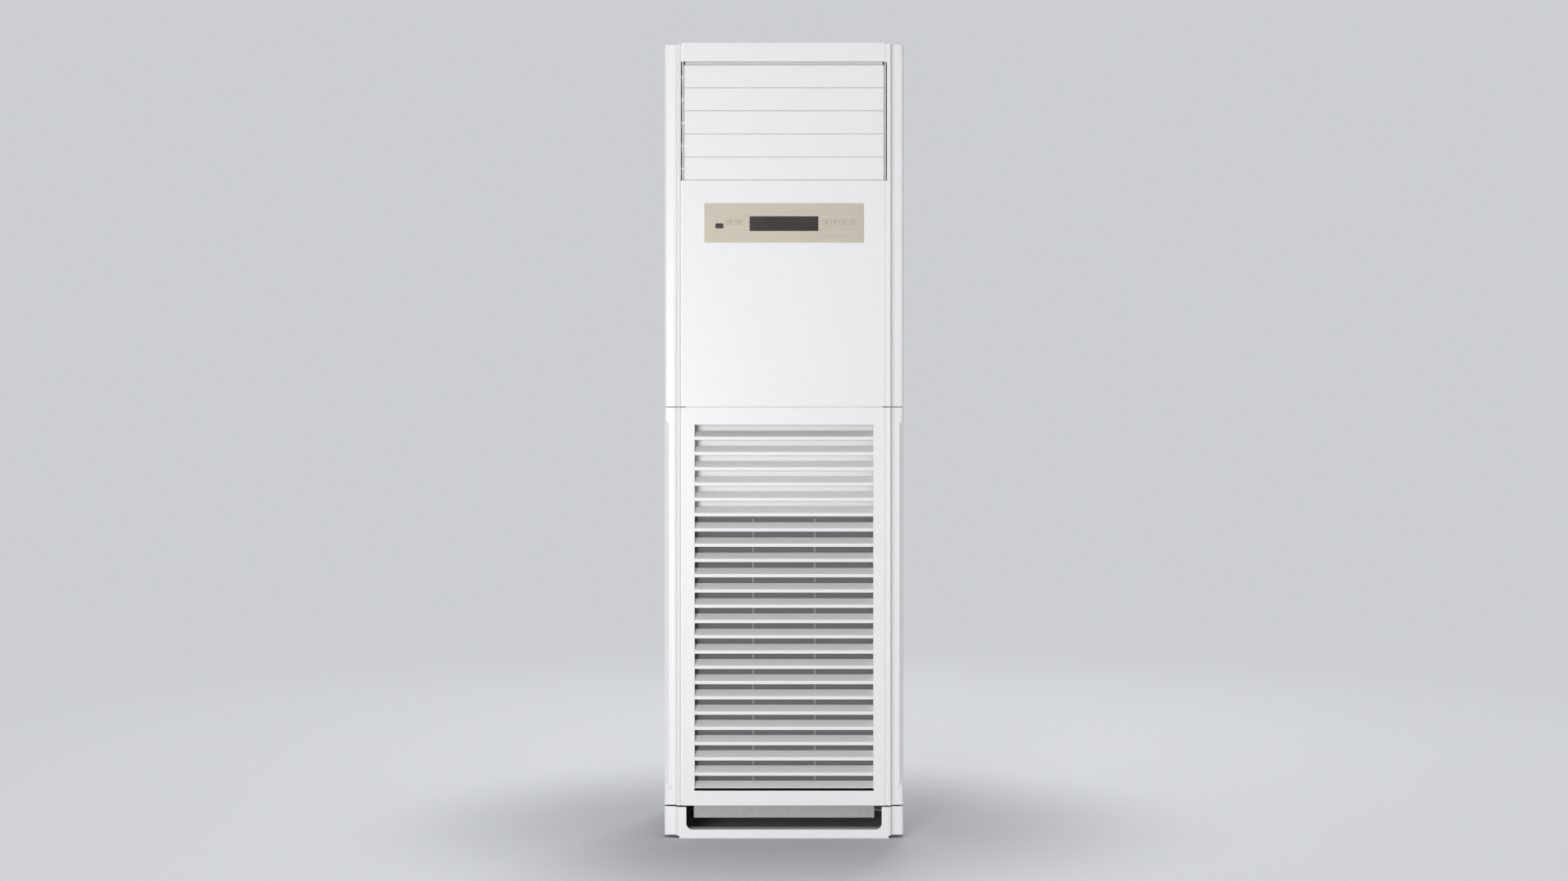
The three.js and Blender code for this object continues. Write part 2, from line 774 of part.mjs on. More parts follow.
/** Rubber ring that lines the pipe hole and grips the sheet between two lips. */
function pipeGrommet() {
  const lip = pipeHoleRadius + ringLip;
  const neck = pipeHoleRadius - seatGap;
  const bore = pipeHoleRadius - grommetWall;
  const inside = casingRearY - sheetWall;
  return turnedY(pipeHoleX, pipeHoleZ, [
    [bore, inside - ringLipThickness], [lip, inside - ringLipThickness],
    [lip, inside - seatGap], [neck, inside - seatGap],
    [neck, casingRearY + seatGap], [lip, casingRearY + seatGap],
    [lip, casingRearY + ringLipThickness], [bore, casingRearY + ringLipThickness],
  ], 24);
}

/** Bushing that a supply lead would pass through. */
function cableGland() {
  const flange = glandRadius + ringLip;
  const bore = glandRadius - glandWall;
  return turnedY(glandX, glandZ, [
    [bore, casingRearY - glandLength], [glandRadius, casingRearY - glandLength],
    [glandRadius, casingRearY + seatGap], [flange, casingRearY + seatGap],
    [flange, casingRearY + ringLipThickness], [bore, casingRearY + ringLipThickness],
  ], 20);
}

// ---------------------------------------------------------------------------
// Front mouldings
// ---------------------------------------------------------------------------

/** Upper front: face, both pillars, the outlet opening and the opening for the display's tray. */
function upperFrontPanel() {
  const trayHalf = displayWidth / 2 - displayOverlap;
  const notch = (side) => block(...span(side, outletHalf, halfWidth + past),
    faceY - past, seamY + past, pillarTop, cabinetHeight + past);
  return cut(frontShell(true, upperBottom, cabinetHeight),
    block(-outletHalf, outletHalf, faceY - past, frameFrontY + past, outletBottom, outletTop),
    block(-trayHalf, trayHalf, faceY - past, faceY + shellWall + past,
      displayBottom + displayOverlap, displayTop - displayOverlap),
    notch(1), notch(-1));
}

/** Section of one slat: a narrow front edge and a blade that climbs to the rear. */
function slatOutline(bottom) {
  return [
    [faceY, bottom],
    [faceY, bottom + slatFace],
    [faceY + 1.5, bottom + slatFace],
    [faceY + slatDepth, bottom + slatFace + slatRise],
    [faceY + slatDepth, bottom + slatFace + slatRise - slatBack],
    [faceY + slatBack, bottom],
  ];
}

/** Chamfer along the outer corner of a grille pillar, with tapered ends, that fingers reach into. */
function gripRebate(side) {
  const low = grilleBottom + rebateBottomMargin;
  const high = grilleTop - rebateTopMargin;
  const inner = halfWidth - rebateWidth;
  const outline = [
    [inner, stripY - past], [halfWidth + past, stripY - past], [halfWidth + past, stripY + rebateDepth],
  ];
  const wedge = prism('z', onSide(side, outline), low - rebateTaper, high + rebateTaper);
  const slope = [
    [inner - 30, low - rebateTaper], [halfWidth + 2, low], [halfWidth + 2, high],
    [inner - 30, high + rebateTaper],
  ];
  return wedge.intersect(prism('y', onSide(side, slope), faceY - past, seamY));
}

/** Channel on the back of the grille that one edge of the filter runs in. */
function filterRail(side) {
  const front = faceY + shellWall / 2;
  const lip = railOuter - railThickness - railLip;
  const outline = [
    [railOuter, front], [railOuter, railBack], [lip, railBack], [lip, railBack - railThickness],
    [railOuter - railThickness, railBack - railThickness], [railOuter - railThickness, front],
  ];
  return prism('z', onSide(side, outline), grilleBottom + filterLedgeRise, grilleTop - railTopGap);
}

/** Wall beside the slots that closes the ends of the slats. */
function slatEndWall(side) {
  return block(...span(side, slotFieldHalf, slotFieldHalf + railThickness), faceY + shellWall / 2,
    faceY + slatDepth, slotFieldBottom - railThickness, slotFieldTop + slatRise);
}

/** Lug that sits on one hinge pin of the base pan. */
function hingeLug(side) {
  const near = earX + earThickness + 1;
  const lug = block(...span(side, near, near + lugWidth), faceY + shellWall / 2,
    hingeY + hingeRadius + lugWall, hingeZ - lugHeightBelow, hingeZ + lugHeightAbove);
  return cut(lug, rod('x', hingeY, hingeZ, hingeRadius + pinClearance,
    ...span(side, near - past, near + lugWidth + past), 12));
}

/** Lower front: 24 slots with climbing slats, pillars with grip rebates, filter rails and hinge lugs. */
function intakeGrille() {
  const screwHole = (side) => rod('y', side * lockScrewX, grilleBottom + lockScrewRise,
    lockScrewRadius / 2 + seatGap, stripY - past, seamY + past, 12);
  const shell = cut(frontShell(true, grilleBottom, grilleTop),
    block(-slotFieldHalf, slotFieldHalf, faceY - past, faceY + shellWall + past,
      slotFieldBottom, slotFieldTop),
    gripRebate(1), gripRebate(-1), screwHole(1), screwHole(-1));
  const ledgeBottom = grilleBottom + filterLedgeRise;
  const ledge = block(-railOuter, railOuter, faceY + shellWall / 2, railBack,
    ledgeBottom, ledgeBottom + railThickness);
  const slats = Array.from({ length: slotCount }, (_, slat) => {
    const outline = slatOutline(slotFieldBottom + slat * slotPitch - slatFace);
    return prism('x', outline, -slotFieldHalf - past, slotFieldHalf + past);
  });
  const sides = [-1, 1].flatMap((side) => [filterRail(side), slatEndWall(side), hingeLug(side)]);
  return join(shell, ledge, ...slats, ...sides);
}

/** Slotted screw that locks the grille to the casing. */
function lockScrew() {
  const front = stripY - lockScrewHead;
  const head = rod('y', 0, 0, lockScrewRadius, front, stripY - seatGap, 16);
  const shank = rod('y', 0, 0, lockScrewRadius / 2, stripY - past, stripY + lockScrewLength, 12);
  const slot = block(-lockScrewRadius, lockScrewRadius, front - past, front + past,
    -lockScrewSlot / 2, lockScrewSlot / 2);
  return cut(join(head, shank), slot);
}

/** Washable filter: a frame with upright and level bars round one sheet of mesh. */
function airFilter() {
  const half = slotFieldHalf + railLip + 1;
  const front = faceY + filterSetback;
  const back = front + filterThickness;
  const bottom = grilleBottom + filterLedgeRise + railThickness + seatGap;
  const top = coverBottom;
  const frame = cut(block(-half, half, front, back, bottom, top),
    block(-half + filterBorder, half - filterBorder, front - past, back + past,
      bottom + filterBorder, top - filterBorder));
  const middle = (front + back) / 2;
  const inset = filterBorder / 4;
  const mesh = block(-half + inset, half - inset, middle - filterMeshThickness / 2,
    middle + filterMeshThickness / 2, bottom + inset, top - inset);
  const bars = [];
  for (const side of [-1, 1]) {
    const x = side * half / 3;
    bars.push(block(x - filterBarWidth / 2, x + filterBarWidth / 2, front, middle,
      bottom + inset, top - inset));
  }
  for (let level = 1; level <= 3; level += 1) {
    const z = bottom + (level * (top - bottom)) / 4;
    bars.push(block(-half + inset, half - inset, middle, back,
      z - filterBarWidth / 2, z + filterBarWidth / 2));
  }
  return join(frame, mesh, ...bars);
}

// ---------------------------------------------------------------------------
// Air outlet
// ---------------------------------------------------------------------------

/** Four-sided duct behind the outlet opening, with the holes that every pin turns in. */
function outletFrame() {
  const floorBottom = frameFloorZ - outletFrameWall;
  const ceilingTop = frameCeilingZ + outletFrameWall;
  const duct = cut(
    block(-frameOuterX, frameOuterX, frameFrontY, frameBackY, floorBottom, ceilingTop),
    block(-frameInnerX, frameInnerX, frameFrontY - past, frameBackY + past, frameFloorZ, frameCeilingZ));
  const holes = [];
  for (let row = 0; row < louvreCount; row += 1) {
    holes.push(rod('x', louvrePivotY, louvreZ(row), pinRadius + pinClearance,
      -frameOuterX - past, frameOuterX + past, 12));
  }
  for (let column = 0; column < vaneCount; column += 1) {
    holes.push(rod('z', vaneX(column), vanePivotY, vanePinRadius + pinClearance,
      floorBottom - past, ceilingTop + past, 12));
  }
  return cut(duct, ...holes);
}

/** Horizontal louvre about its own pivot, with lugs, pins and the crank on the left. */
function louvre() {
  const front = louvreSetback - louvrePivotSetback;
  const back = front + louvreThickness;
  const half = louvreHeight / 2;
  const bevel = 1.2;
  const lipFront = back + fitGap;
  const lipBack = lipFront + louvreLipThickness;
  const blade = prism('x', [
    [front + bevel, -half], [front, -half + bevel], [front, half - bevel], [front + bevel, half],
    [back, half], [back, -half + louvreLip],
    [lipBack, -half], [lipBack, -half - louvreLip], [lipFront, -half - louvreLip], [lipFront, -half],
  ], -louvreHalf, louvreHalf);
  const root = back - past;
  const lug = [[root, -louvreLugHalf], [root, louvreLugHalf], [2.5, 4], [4.5, 0], [2.5, -4]];
  const lugs = [-1, 1].map((side) => prism('x', lug,
    ...span(side, louvreHalf - louvreLugThickness, louvreHalf)));
  const crankFar = crankX - crankThickness;
  const armOutline = lozenge(0, 0, pinRadius + 1, crankY, crankZ, crankPinRadius + 1.7);
  const arm = prism('x', armOutline, crankFar, crankX);
  return join(blade, ...lugs, arm,
    rod('x', 0, 0, pinRadius, crankFar + past, -louvreHalf + past, 12),
    rod('x', 0, 0, pinRadius, louvreHalf - past, frameOuterX, 12),
    rod('x', crankY, crankZ, crankPinRadius, crankFar - linkThickness - 1.5, crankFar + past, 10));
}

/** Upright bar that carries the crank pins of all louvres. */
function louvreLink() {
  const low = louvreZ(0) + crankZ;
  const high = louvreZ(louvreCount - 1) + crankZ;
  const y = louvrePivotY + crankY;
  const end = linkWidth / 2;
  const outline = [
    ...arc(y, high, end, end, 0, 180, 6),
    ...arc(y, low, end, end, 180, 360, 6),
  ];
  const holes = [];
  for (let row = 0; row < louvreCount; row += 1) {
    holes.push(rod('x', y, louvreZ(row) + crankZ, crankPinRadius + linkPinClearance,
      linkX - linkThickness - past, linkX + past, 10));
  }
  return cut(prism('x', outline, linkX - linkThickness, linkX), ...holes);
}

/** Small geared motor on the right wall of the duct, its hub on the middle louvre's pin. */
function louvreMotor() {
  const back = louvreMotorOffset + louvreMotorRadius;
  const plate = lozenge(0, 0, pinRadius + 1, louvreMotorOffset, 0, louvreMotorRadius + 2);
  return join(
    prism('x', plate, 0, motorPlate),
    rod('x', louvreMotorOffset, 0, louvreMotorRadius, motorPlate - past, louvreMotorLength, 20),
    block(motorPlate, louvreMotorRadius, back - 3, back + 5, -8, 8));
}

/** Upright vane about its own pivot, with a pin at each end and the pin of the link bar. */
function vane() {
  const low = frameFloorZ + vaneFootGap;
  const high = frameCeilingZ - vaneEndGap;
  const half = vaneThickness / 2;
  const tip = 0.4 * half;
  const blade = prism('z', both([
    [tip, -vaneDepth / 2], [half, -vaneDepth / 4], [half, vaneDepth / 4], [tip, vaneDepth / 2],
  ]), low, high);
  return join(blade,
    rod('z', 0, 0, vanePinRadius, frameFloorZ - outletFrameWall + seatGap, frameCeilingZ + vaneLinkRise, 12),
    rod('z', 0, vaneLinkOffset, crankPinRadius, frameFloorZ + vaneLinkRise, low + past, 10));
}

/** Bar under the vanes that turns them together. */
function vaneLink() {
  const low = frameFloorZ + vaneLinkRise;
  const high = low + linkThickness;
  const y = vanePivotY + vaneLinkOffset;
  const reach = vaneX(vaneCount - 1) + linkWidth;
  const holes = [];
  for (let column = 0; column < vaneCount; column += 1) {
    holes.push(rod('z', vaneX(column), y, crankPinRadius + linkPinClearance, low - past, high + past, 10));
  }
  return cut(block(-reach, reach, y - linkWidth / 2, y + linkWidth / 2, low, high), ...holes);
}

/** Geared motor under the duct, on the middle vane's pin. */
function vaneMotor() {
  const top = frameFloorZ - outletFrameWall - seatGap;
  return join(
    block(-vaneMotorPlateHalf, vaneMotorPlateHalf, vanePivotY - vaneMotorPlateDepth / 2,
      vanePivotY + vaneMotorPlateDepth / 2, top - motorPlate, top),
    rod('z', 0, vanePivotY, vaneMotorRadius, top - vaneMotorLength, top - past, 20));
}

/** Foam block above the coil whose hollow face turns the air forward into the duct. */
function airGuide() {
  const top = sideTop - guideTopGap;
  const back = casingRearY - 2 * (sheetWall + seatGap);
  const bottom = frameFloorZ - guideFoot;
  const front = frameBackY + seatGap;
  const ceiling = frameCeilingZ + outletFrameWall;
  const reach = halfWidth - flangeWidth - fitGap;
  const radiusY = back - guideWall - front;
  const outline = [
    [front, top], [back, top], [back, bottom],
    ...arc(front, bottom, radiusY, ceiling - bottom, 0, 90, 8),
  ];
  return prism('x', outline, -reach, reach);
}

// ---------------------------------------------------------------------------
// Display and buttons
// ---------------------------------------------------------------------------

/** A block behind the face, round a middle in X and Z. */
function boxRound(x, z, width, height, front, back) {
  return block(x - width / 2, x + width / 2, front, back, z - height / 2, z + height / 2);
}

/** Brushed plate with a tray behind it, open for the window, the buttons and the receiver lens. */
function displayPlate() {
  const middle = displayBottom + displayHeight / 2;
  const trayWidth = displayWidth - 2 * (displayOverlap + fitGap);
  const trayHeight = displayHeight - 2 * (displayOverlap + fitGap);
  const plate = prism('y', roundedRectangle(displayWidth, displayHeight, plateCornerRadius, 0, middle),
    frontY, plateBackY);
  const tray = cut(boxRound(0, middle, trayWidth, trayHeight, plateBackY - seatGap, trayBackY),
    boxRound(0, middle, trayWidth - 2 * trayWall, trayHeight - 2 * trayWall, trayFloorY, trayBackY + past));
  const opening = (x, z, width, height) => boxRound(x, z, width + 2 * seatGap, height + 2 * seatGap,
    frontY - past, trayFloorY + past);
  return cut(join(plate, tray),
    opening(0, windowZ, windowWidth, windowHeight),
    opening(lensX, lensZ, lensWidth, lensHeight),
    ...buttonXs.map((x) => opening(x, buttonZ, buttonWidth, buttonHeight)));
}

/** Smoked window of the display, a plug with a flange behind the plate. */
function displayWindow() {
  const floorY = trayFloorY + seatGap;
  return join(
    boxRound(0, windowZ, windowWidth, windowHeight, frontY + windowRecess, floorY + past),
    boxRound(0, windowZ, windowWidth + 2 * windowFlange, windowHeight + 2 * windowFlange,
      floorY, floorY + flangeThickness));
}

/** Dark lens in front of the remote control's receiver. */
function receiverLens() {
  const floorY = trayFloorY + seatGap;
  const face = roundedRectangle(lensWidth, lensHeight, lensCornerRadius, lensX, lensZ);
  return join(
    prism('y', face, frontY + windowRecess, floorY + past),
    boxRound(lensX, lensZ, lensWidth + 2 * lensFlange, lensHeight + 2 * lensFlange,
      floorY, floorY + flangeThickness));
}

/** Push button about its own middle: cap, flange that keeps it in and the stem on its switch. */
function pushButton() {
  const floorY = trayFloorY + seatGap;
  const flangeBack = floorY + buttonFlangeThickness;
  const stemEnd = boardFrontY - switchHeight - buttonTravel - seatGap;
  const cap = roundedRectangle(buttonWidth, buttonHeight, buttonCornerRadius);
  return join(
    prism('y', cap, frontY + buttonRecess, flangeBack),
    boxRound(0, 0, buttonWidth + 2 * buttonFlange, buttonHeight + 2 * buttonFlange, floorY, flangeBack),
    rod('y', 0, 0, buttonStemRadius, flangeBack - seatGap, stemEnd, 10));
}

/** Circuit board with the light module behind the window and a switch behind each button. */
function displayBoard() {
  const inset = displayOverlap + trayWall + 2 * fitGap;
  const board = boxRound(0, displayBottom + displayHeight / 2, displayWidth - 2 * inset,
    displayHeight - 2 * inset, boardFrontY, boardFrontY + boardThickness);
  const onBoard = (x, z, width, height, front) => boxRound(x, z, width, height, front, boardFrontY + seatGap);
  return join(board,
    onBoard(0, windowZ, windowWidth - 2 * moduleInset, moduleHeight, faceY + moduleSetback),
    onBoard(lensX, lensZ, receiverSize, receiverSize, faceY + moduleSetback),
    ...buttonXs.map((x) => onBoard(x, buttonZ, switchSize, switchSize, boardFrontY - switchHeight)));
}

// ---------------------------------------------------------------------------
// Blower
// ---------------------------------------------------------------------------

/** Spiral outline of the scroll with its throat to the partition, grown outwards by an offset. */
function scrollOutline(offset, top) {
  const spiral = Array.from({ length: scrollSteps + 1 }, (_, step) => {
    const share = step / scrollSteps;
    const radius = scrollStartRadius + (scrollEndRadius - scrollStartRadius) * share + offset;
    const angle = -Math.PI * share;
    return [radius * Math.cos(angle), fanHeight + radius * Math.sin(angle)];
  });
  const inner = scrollStartRadius + offset;
  const shoulder = arc(0, fanHeight, inner, inner, throatAngle, 10, 6);
  return [
    [-scrollEndRadius - offset, top],
    [throatRightX + offset, top],
    [throatRightX + offset, fanHeight + inner + throatRise],
    ...shoulder,
    ...spiral,
  ];
}

/** Scroll: spiral wall and back plate with a hole for the motor's boss. */
function fanScroll() {
  const top = partitionBottom - seatGap;
  return cut(prism('y', scrollOutline(0, top), fanFrontY + scrollPlate + seatGap, scrollBackY),
    prism('y', scrollOutline(-scrollWall, top + past), fanFrontY, scrollBackY - scrollWall),
    rod('y', 0, fanHeight, motorBossRadius + 4, scrollBackY - scrollWall - past, scrollBackY + past, 24));
}

/** Front plate of the scroll with the flared inlet ring. */
function scrollFront() {
  const plateBack = fanFrontY + scrollPlate;
  const plate = cut(prism('y', scrollOutline(0, partitionBottom - seatGap), fanFrontY, plateBack),
    rod('y', 0, fanHeight, inletRadius + 6, fanFrontY - past, plateBack + past, 32));
  const flareRadius = inletRadius + scrollPlate;
  const flare = turnedY(0, fanHeight, [
    [inletRadius + 8, fanFrontY], [inletRadius + 8, plateBack], [flareRadius, fanFrontY + inletLip],
    [inletRadius, fanFrontY + inletLip], [inletRadius, fanFrontY + 8], [flareRadius, fanFrontY + 2],
  ]);
  return join(plate, flare);
}

/** Centrifugal wheel: curved blades between a front ring and a back plate with its hub. */
function blowerWheel() {
  const ringInner = wheelInnerRadius + 8;
  const ringBack = wheelFrontY + wheelRingWidth;
  const plateBack = wheelFrontY + wheelPlate;
  const ring = turnedY(0, fanHeight, [
    [ringInner, wheelFrontY], [wheelRadius, wheelFrontY], [wheelRadius, ringBack],
    [wheelRadius - wheelPlate, ringBack], [wheelRadius - wheelPlate, plateBack], [ringInner, plateBack],
  ]);
  const back = rod('y', 0, fanHeight, wheelRadius - 1, wheelBackY - wheelPlate, wheelBackY, 32);
  const hub = rod('y', 0, fanHeight, hubRadius, wheelBackY - hubLength, wheelBackY, 20);
  const blades = Array.from({ length: wheelBlades }, (_, index) => {
    const start = (360 * index) / wheelBlades;
    const at = (radius, turn, side) => {
      const angle = THREE.MathUtils.degToRad(start + turn);
      const x = radius * Math.cos(angle) - side * bladeThickness * Math.sin(angle);
      const z = radius * Math.sin(angle) + side * bladeThickness * Math.cos(angle);
      return [x, fanHeight + z];
    };
    const middle = (wheelInnerRadius + wheelRadius) / 2;
    const outer = wheelRadius - 2.5;
    return prism('y', [
      at(wheelInnerRadius, 0, 0), at(middle, bladeBend / 4, 0), at(outer, bladeBend, 0),
      at(outer, bladeBend, 1), at(middle, bladeBend / 4, 1), at(wheelInnerRadius, 0, 1),
    ], wheelFrontY + wheelPlate / 2, wheelBackY - wheelPlate / 2);
  });
  const boreFront = wheelBackY - hubLength - past;
  return cut(join(ring, back, hub, ...blades),
    rod('y', 0, fanHeight, shaftRadius + shaftClearance, boreFront, wheelBackY + past, 20));
}

/** Motor shaft with a round end that stands out of the nut. */
function motorShaft() {
  return rod('y', 0, fanHeight, shaftRadius, nutFrontY - 4, motorFrontY + motorLength * shaftDepthShare, 20);
}

function wheelNut() {
  return cut(rod('y', 0, fanHeight, nutWidth / Math.sqrt(3), nutFrontY, nutFrontY + nutHeight, 6),
    rod('y', 0, fanHeight, shaftRadius + shaftClearance, nutFrontY - past, nutFrontY + nutHeight + past, 20));
}

/** Fan motor: a can with a boss, ribs round its flange and a bearing bore for the shaft. */
function fanMotor() {
  const back = motorFrontY + motorLength;
  const body = turnedY(0, fanHeight, [
    [0, motorFrontY], [motorRadius + motorFlange, motorFrontY],
    [motorRadius + motorFlange, motorFrontY + motorFlangeThickness],
    [motorRadius, motorFrontY + motorFlangeThickness + 1],
    [motorRadius, back - motorFlange], [motorRadius - motorFlange, back], [0, back],
  ]);
  const bossFront = scrollBackY - 8;
  const boss = rod('y', 0, fanHeight, motorBossRadius, bossFront, motorFrontY + past, 24);
  const boreEnd = motorFrontY + motorLength * (shaftDepthShare + 0.1);
  return cut(join(body, boss),
    rod('y', 0, fanHeight, shaftRadius + shaftClearance, bossFront - past, boreEnd, 20));
}

/** Folded stand between scroll and motor: an upright plate on a foot on the deck, with two gussets. */
function motorBracket() {
  const half = bracketWidth / 2;
  const plateFront = bracketBackY - bracketPlate;
  const foot = deckTop + seatGap;
  const footBack = bracketBackY + bracketFoot;
  const plate = block(-half, half, plateFront, bracketBackY, foot, fanHeight + bracketTopMargin);
  const gusset = [
    [plateFront + past, foot], [footBack, foot], [footBack, foot + gussetToe],
    [bracketBackY, foot + gussetRise], [plateFront + past, foot + gussetRise],
  ];
  return cut(join(plate,
    block(-half, half, plateFront, footBack, foot, foot + bracketPlate),
    prism('x', gusset, -half, -half + bracketPlate),
    prism('x', gusset, half - bracketPlate, half)),
  rod('y', 0, fanHeight, motorBossRadius + 2, plateFront - past, bracketBackY + past, 24));
}

// ---------------------------------------------------------------------------
// Partition and electrical box
// ---------------------------------------------------------------------------

/** Sheet across the cabinet: carries the scroll's throat, the electrical box and lets the pipes pass. */
function partitionPlate() {
  const front = seamY + partitionFrontMargin;
  const back = casingRearY - 2 * (sheetWall + seatGap);
  const below = partitionBottom - past;
  const above = partitionTop + past;
  const plate = block(-innerReachX, innerReachX, front, back, partitionBottom, partitionTop);
  const flange = (side) => block(...span(side, innerReachX - sheetWall, innerReachX), front, back,
    partitionBottom - partitionFlange, partitionTop);
  const throat = block(-scrollEndRadius + scrollWall, throatRightX - scrollWall,
    boxBackY + throatClearance, scrollBackY - throatClearance, below, above);
  const passageY = coolantPipes.gas_pipe.runY;
  const pipes = block(halfWidth - passageInner, halfWidth - passageOuter,
    passageY - passageFront, passageY + passageRear, below, above);
  const hose = rod('z', hoseX, hoseY, hoseRadius + 3, below, above, 16);
  return cut(join(plate, flange(-1), flange(1)), throat, pipes, hose);
}

/** Open steel tray that holds the electrical parts, with four posts for the board. */
function electricalBox() {
  const tray = cut(block(-boxHalf, boxHalf, boxFrontY, boxBackY, boxBottomZ, boxTopZ),
    block(-boxHalf + sheetWall, boxHalf - sheetWall, boxFrontY - past, boxBackY - sheetWall,
      boxBottomZ + sheetWall, boxTopZ - sheetWall));
  const posts = [];
  for (const side of [-1, 1]) {
    const x = boardX + (side * postShare * (boardRight - boardLeft)) / 2;
    for (const level of [boxBottomZ + postInset, boxTopZ - postInset]) {
      posts.push(rod('y', x, level, postRadius, boxBackY - boardStandoff, boxBackY - sheetWall / 2, 10));
    }
  }
  return join(tray, ...posts);
}

/** Light cover of the electrical box, seen through the upper slots. */
function electricalCover() {
  const back = boxFrontY - seatGap;
  const front = back - sheetWall;
  const reach = boxHalf + coverReach;
  const hemBottom = boxTopZ + past;
  return join(
    block(-reach, reach, front, back, coverBottom + coverGap, boxTopZ + coverReach),
    block(-reach, reach, front, back + coverHem, hemBottom, hemBottom + sheetWall));
}

/** Control board with its heat sink, transformer, relays and capacitors. */
function mainBoard() {
  const back = boxBackY - boardStandoff - seatGap;
  const front = back - boardThickness;
  const low = boxBottomZ + boardMargin;
  const parts = boardParts.map(([left, right, tall, bottom, top]) => block(boardX + left, boardX + right,
    front - tall, front + seatGap, low + bottom, low + top));
  return join(block(boardLeft, boardRight, front, back, low, boxTopZ - boardMargin), ...parts);
}

/** Terminal block for the supply and the outdoor unit. */
function terminalBlock() {
  const left = boardRight + terminalLeftGap;
  const right = boxHalf - terminalRightGap;
  const back = boxBackY - sheetWall - seatGap;
  const low = boxBottomZ + terminalRise;
  const high = low + terminalHeight;
  const pitch = (right - left) / terminalWays;
  const barriers = Array.from({ length: terminalWays + 1 }, (_, way) => {
    const x = left + way * pitch;
    return block(x - 1, x + 1, back - terminalDepth, back, low, high);
  });
  return join(block(left - 1, right + 1, back - terminalDepth + terminalStep, back, low, high), ...barriers);
}

// ---------------------------------------------------------------------------
// Coil, drain and pipes
// ---------------------------------------------------------------------------

/** Coil about its own middle: fin block, end plates, return bends on the left and side tabs. */
function evaporatorCoil() {
  const half = coilWidth / 2;
  const deep = coilThickness / 2;
  const long = coilLength / 2;
  const plateDeep = deep + coilPlateLip;
  const plateLong = long + coilPlateLip;
  const plates = [-1, 1].map((side) => block(...span(side, half - coilPlateWall, half),
    -plateDeep, plateDeep, -plateLong, plateLong));
  const bends = Array.from({ length: bendCount }, (_, row) => {
    const z = -long + bendStart + row * bendPitch;
    return block(-half - bendReach, -half + past, -bendHalf, bendHalf, z, z + bendHeight);
  });
  const levels = [-long + coilTabEnds[0], long - coilTabEnds[1]];
  const tabs = [-1, 1].flatMap((side) => levels.map((level) => block(...span(side, half - past, innerReachX),
    plateDeep - coilTabThickness, plateDeep, level, level + coilTabWidth)));
  return join(block(-half + past, half - past, -deep, deep, -long, long), ...plates, ...bends, ...tabs);
}

/** Trough under the lower edge of the coil, with a spout for the hose. */
function drainPan() {
  const front = faceY + panSetback;
  const back = front + panWidth;
  const trough = cut(block(-innerReachX, innerReachX, front, back, panRise, panRise + panHeight),
    block(-innerReachX + panWall, innerReachX - panWall, front + panWall, back - panWall,
      panRise + panWall, panRise + panHeight + past));
  const spout = rod('z', hoseX, hoseY, spoutRadius, panRise - panSpout, panRise + past, 16);
  const bore = rod('z', hoseX, hoseY, spoutRadius - spoutWall, panRise - panSpout - past,
    panRise + panWall + past, 16);
  return cut(join(trough, spout), bore);
}

/** A round tube along a smooth line through points, with flat ends. */
function tube(points, radius) {
  const section = new THREE.Shape(arc(0, 0, radius, radius, 0, 360, tubeSides).slice(0, -1)
    .map(([u, v]) => new THREE.Vector2(u, v)));
  const knots = points.map(([x, y, z]) => new THREE.Vector3(x, y, z));
  const extrudePath = new THREE.CatmullRomCurve3(knots, false, 'catmullrom', 0.3);
  return solid(new THREE.ExtrudeGeometry(section, { steps: tubeSteps, extrudePath, bevelEnabled: false }));
}

/** Hose from the pan's spout down the right side and out through the pipe hole. */
function drainHose() {
  const top = panRise - panSpout - seatGap;
  const endZ = pipeHoleZ - hoseDrop;
  return tube([
    [hoseX, hoseY, top], [hoseX, hoseY, top - 60],
    [hoseX, hoseY, 600], [hoseX, hoseY, 300],
    [hoseX, hoseY + 4, 170], [hoseX - 2, hoseY + 40, 118],
    [hoseX - 15, 30, 108], [hoseX - 45, 110, 118],
    [pipeHoleX + 12, rearY - 49, endZ - 9], [pipeHoleX, rearY - 21, endZ],
    [pipeHoleX, rearY - 2, endZ],
  ], hoseRadius);
}

/** Depth and height of a point on the coil's middle plane, by its distance from the middle. */
function onCoil(along) {
  return [coilCentreY + along * Math.sin(leanAngle), coilCentreZ + along * Math.cos(leanAngle)];
}

/** Copper pipe from the coil's end plate down the right side to a flare nut at the pipe hole. */
function coolantPipe({ radius, along, runY, elbowZ, endX, endZ }) {
  const [startY, startZ] = onCoil(along);
  const nutX = pipeHoleX + endX;
  const nutY = rearY - flareNutSetback;
  const nutZ = pipeHoleZ + endZ;
  const path = [
    [coilWidth / 2 + seatGap, startY, startZ], [coilWidth / 2 + 10, startY, startZ],
    [pipeRunX - 2, runY, startZ - 12], [pipeRunX, runY, startZ - 34],
    ...pipeRunHeights.map((height) => [pipeRunX, runY, height]),
    [pipeRunX, runY, elbowZ + 70], [pipeRunX - 4, runY + 30, elbowZ + 12],
    [pipeRunX - 38, runY + 76, elbowZ], [nutX + 3, nutY - 52, nutZ],
    [nutX, nutY - 28, nutZ], [nutX, nutY, nutZ],
  ];
  const nut = rod('y', nutX, nutZ, radius + flareNutWall, nutY - flareNutLength, nutY + past, 6);
  return join(tube(path, radius), nut);
}

// ---------------------------------------------------------------------------
// Assembly
// ---------------------------------------------------------------------------

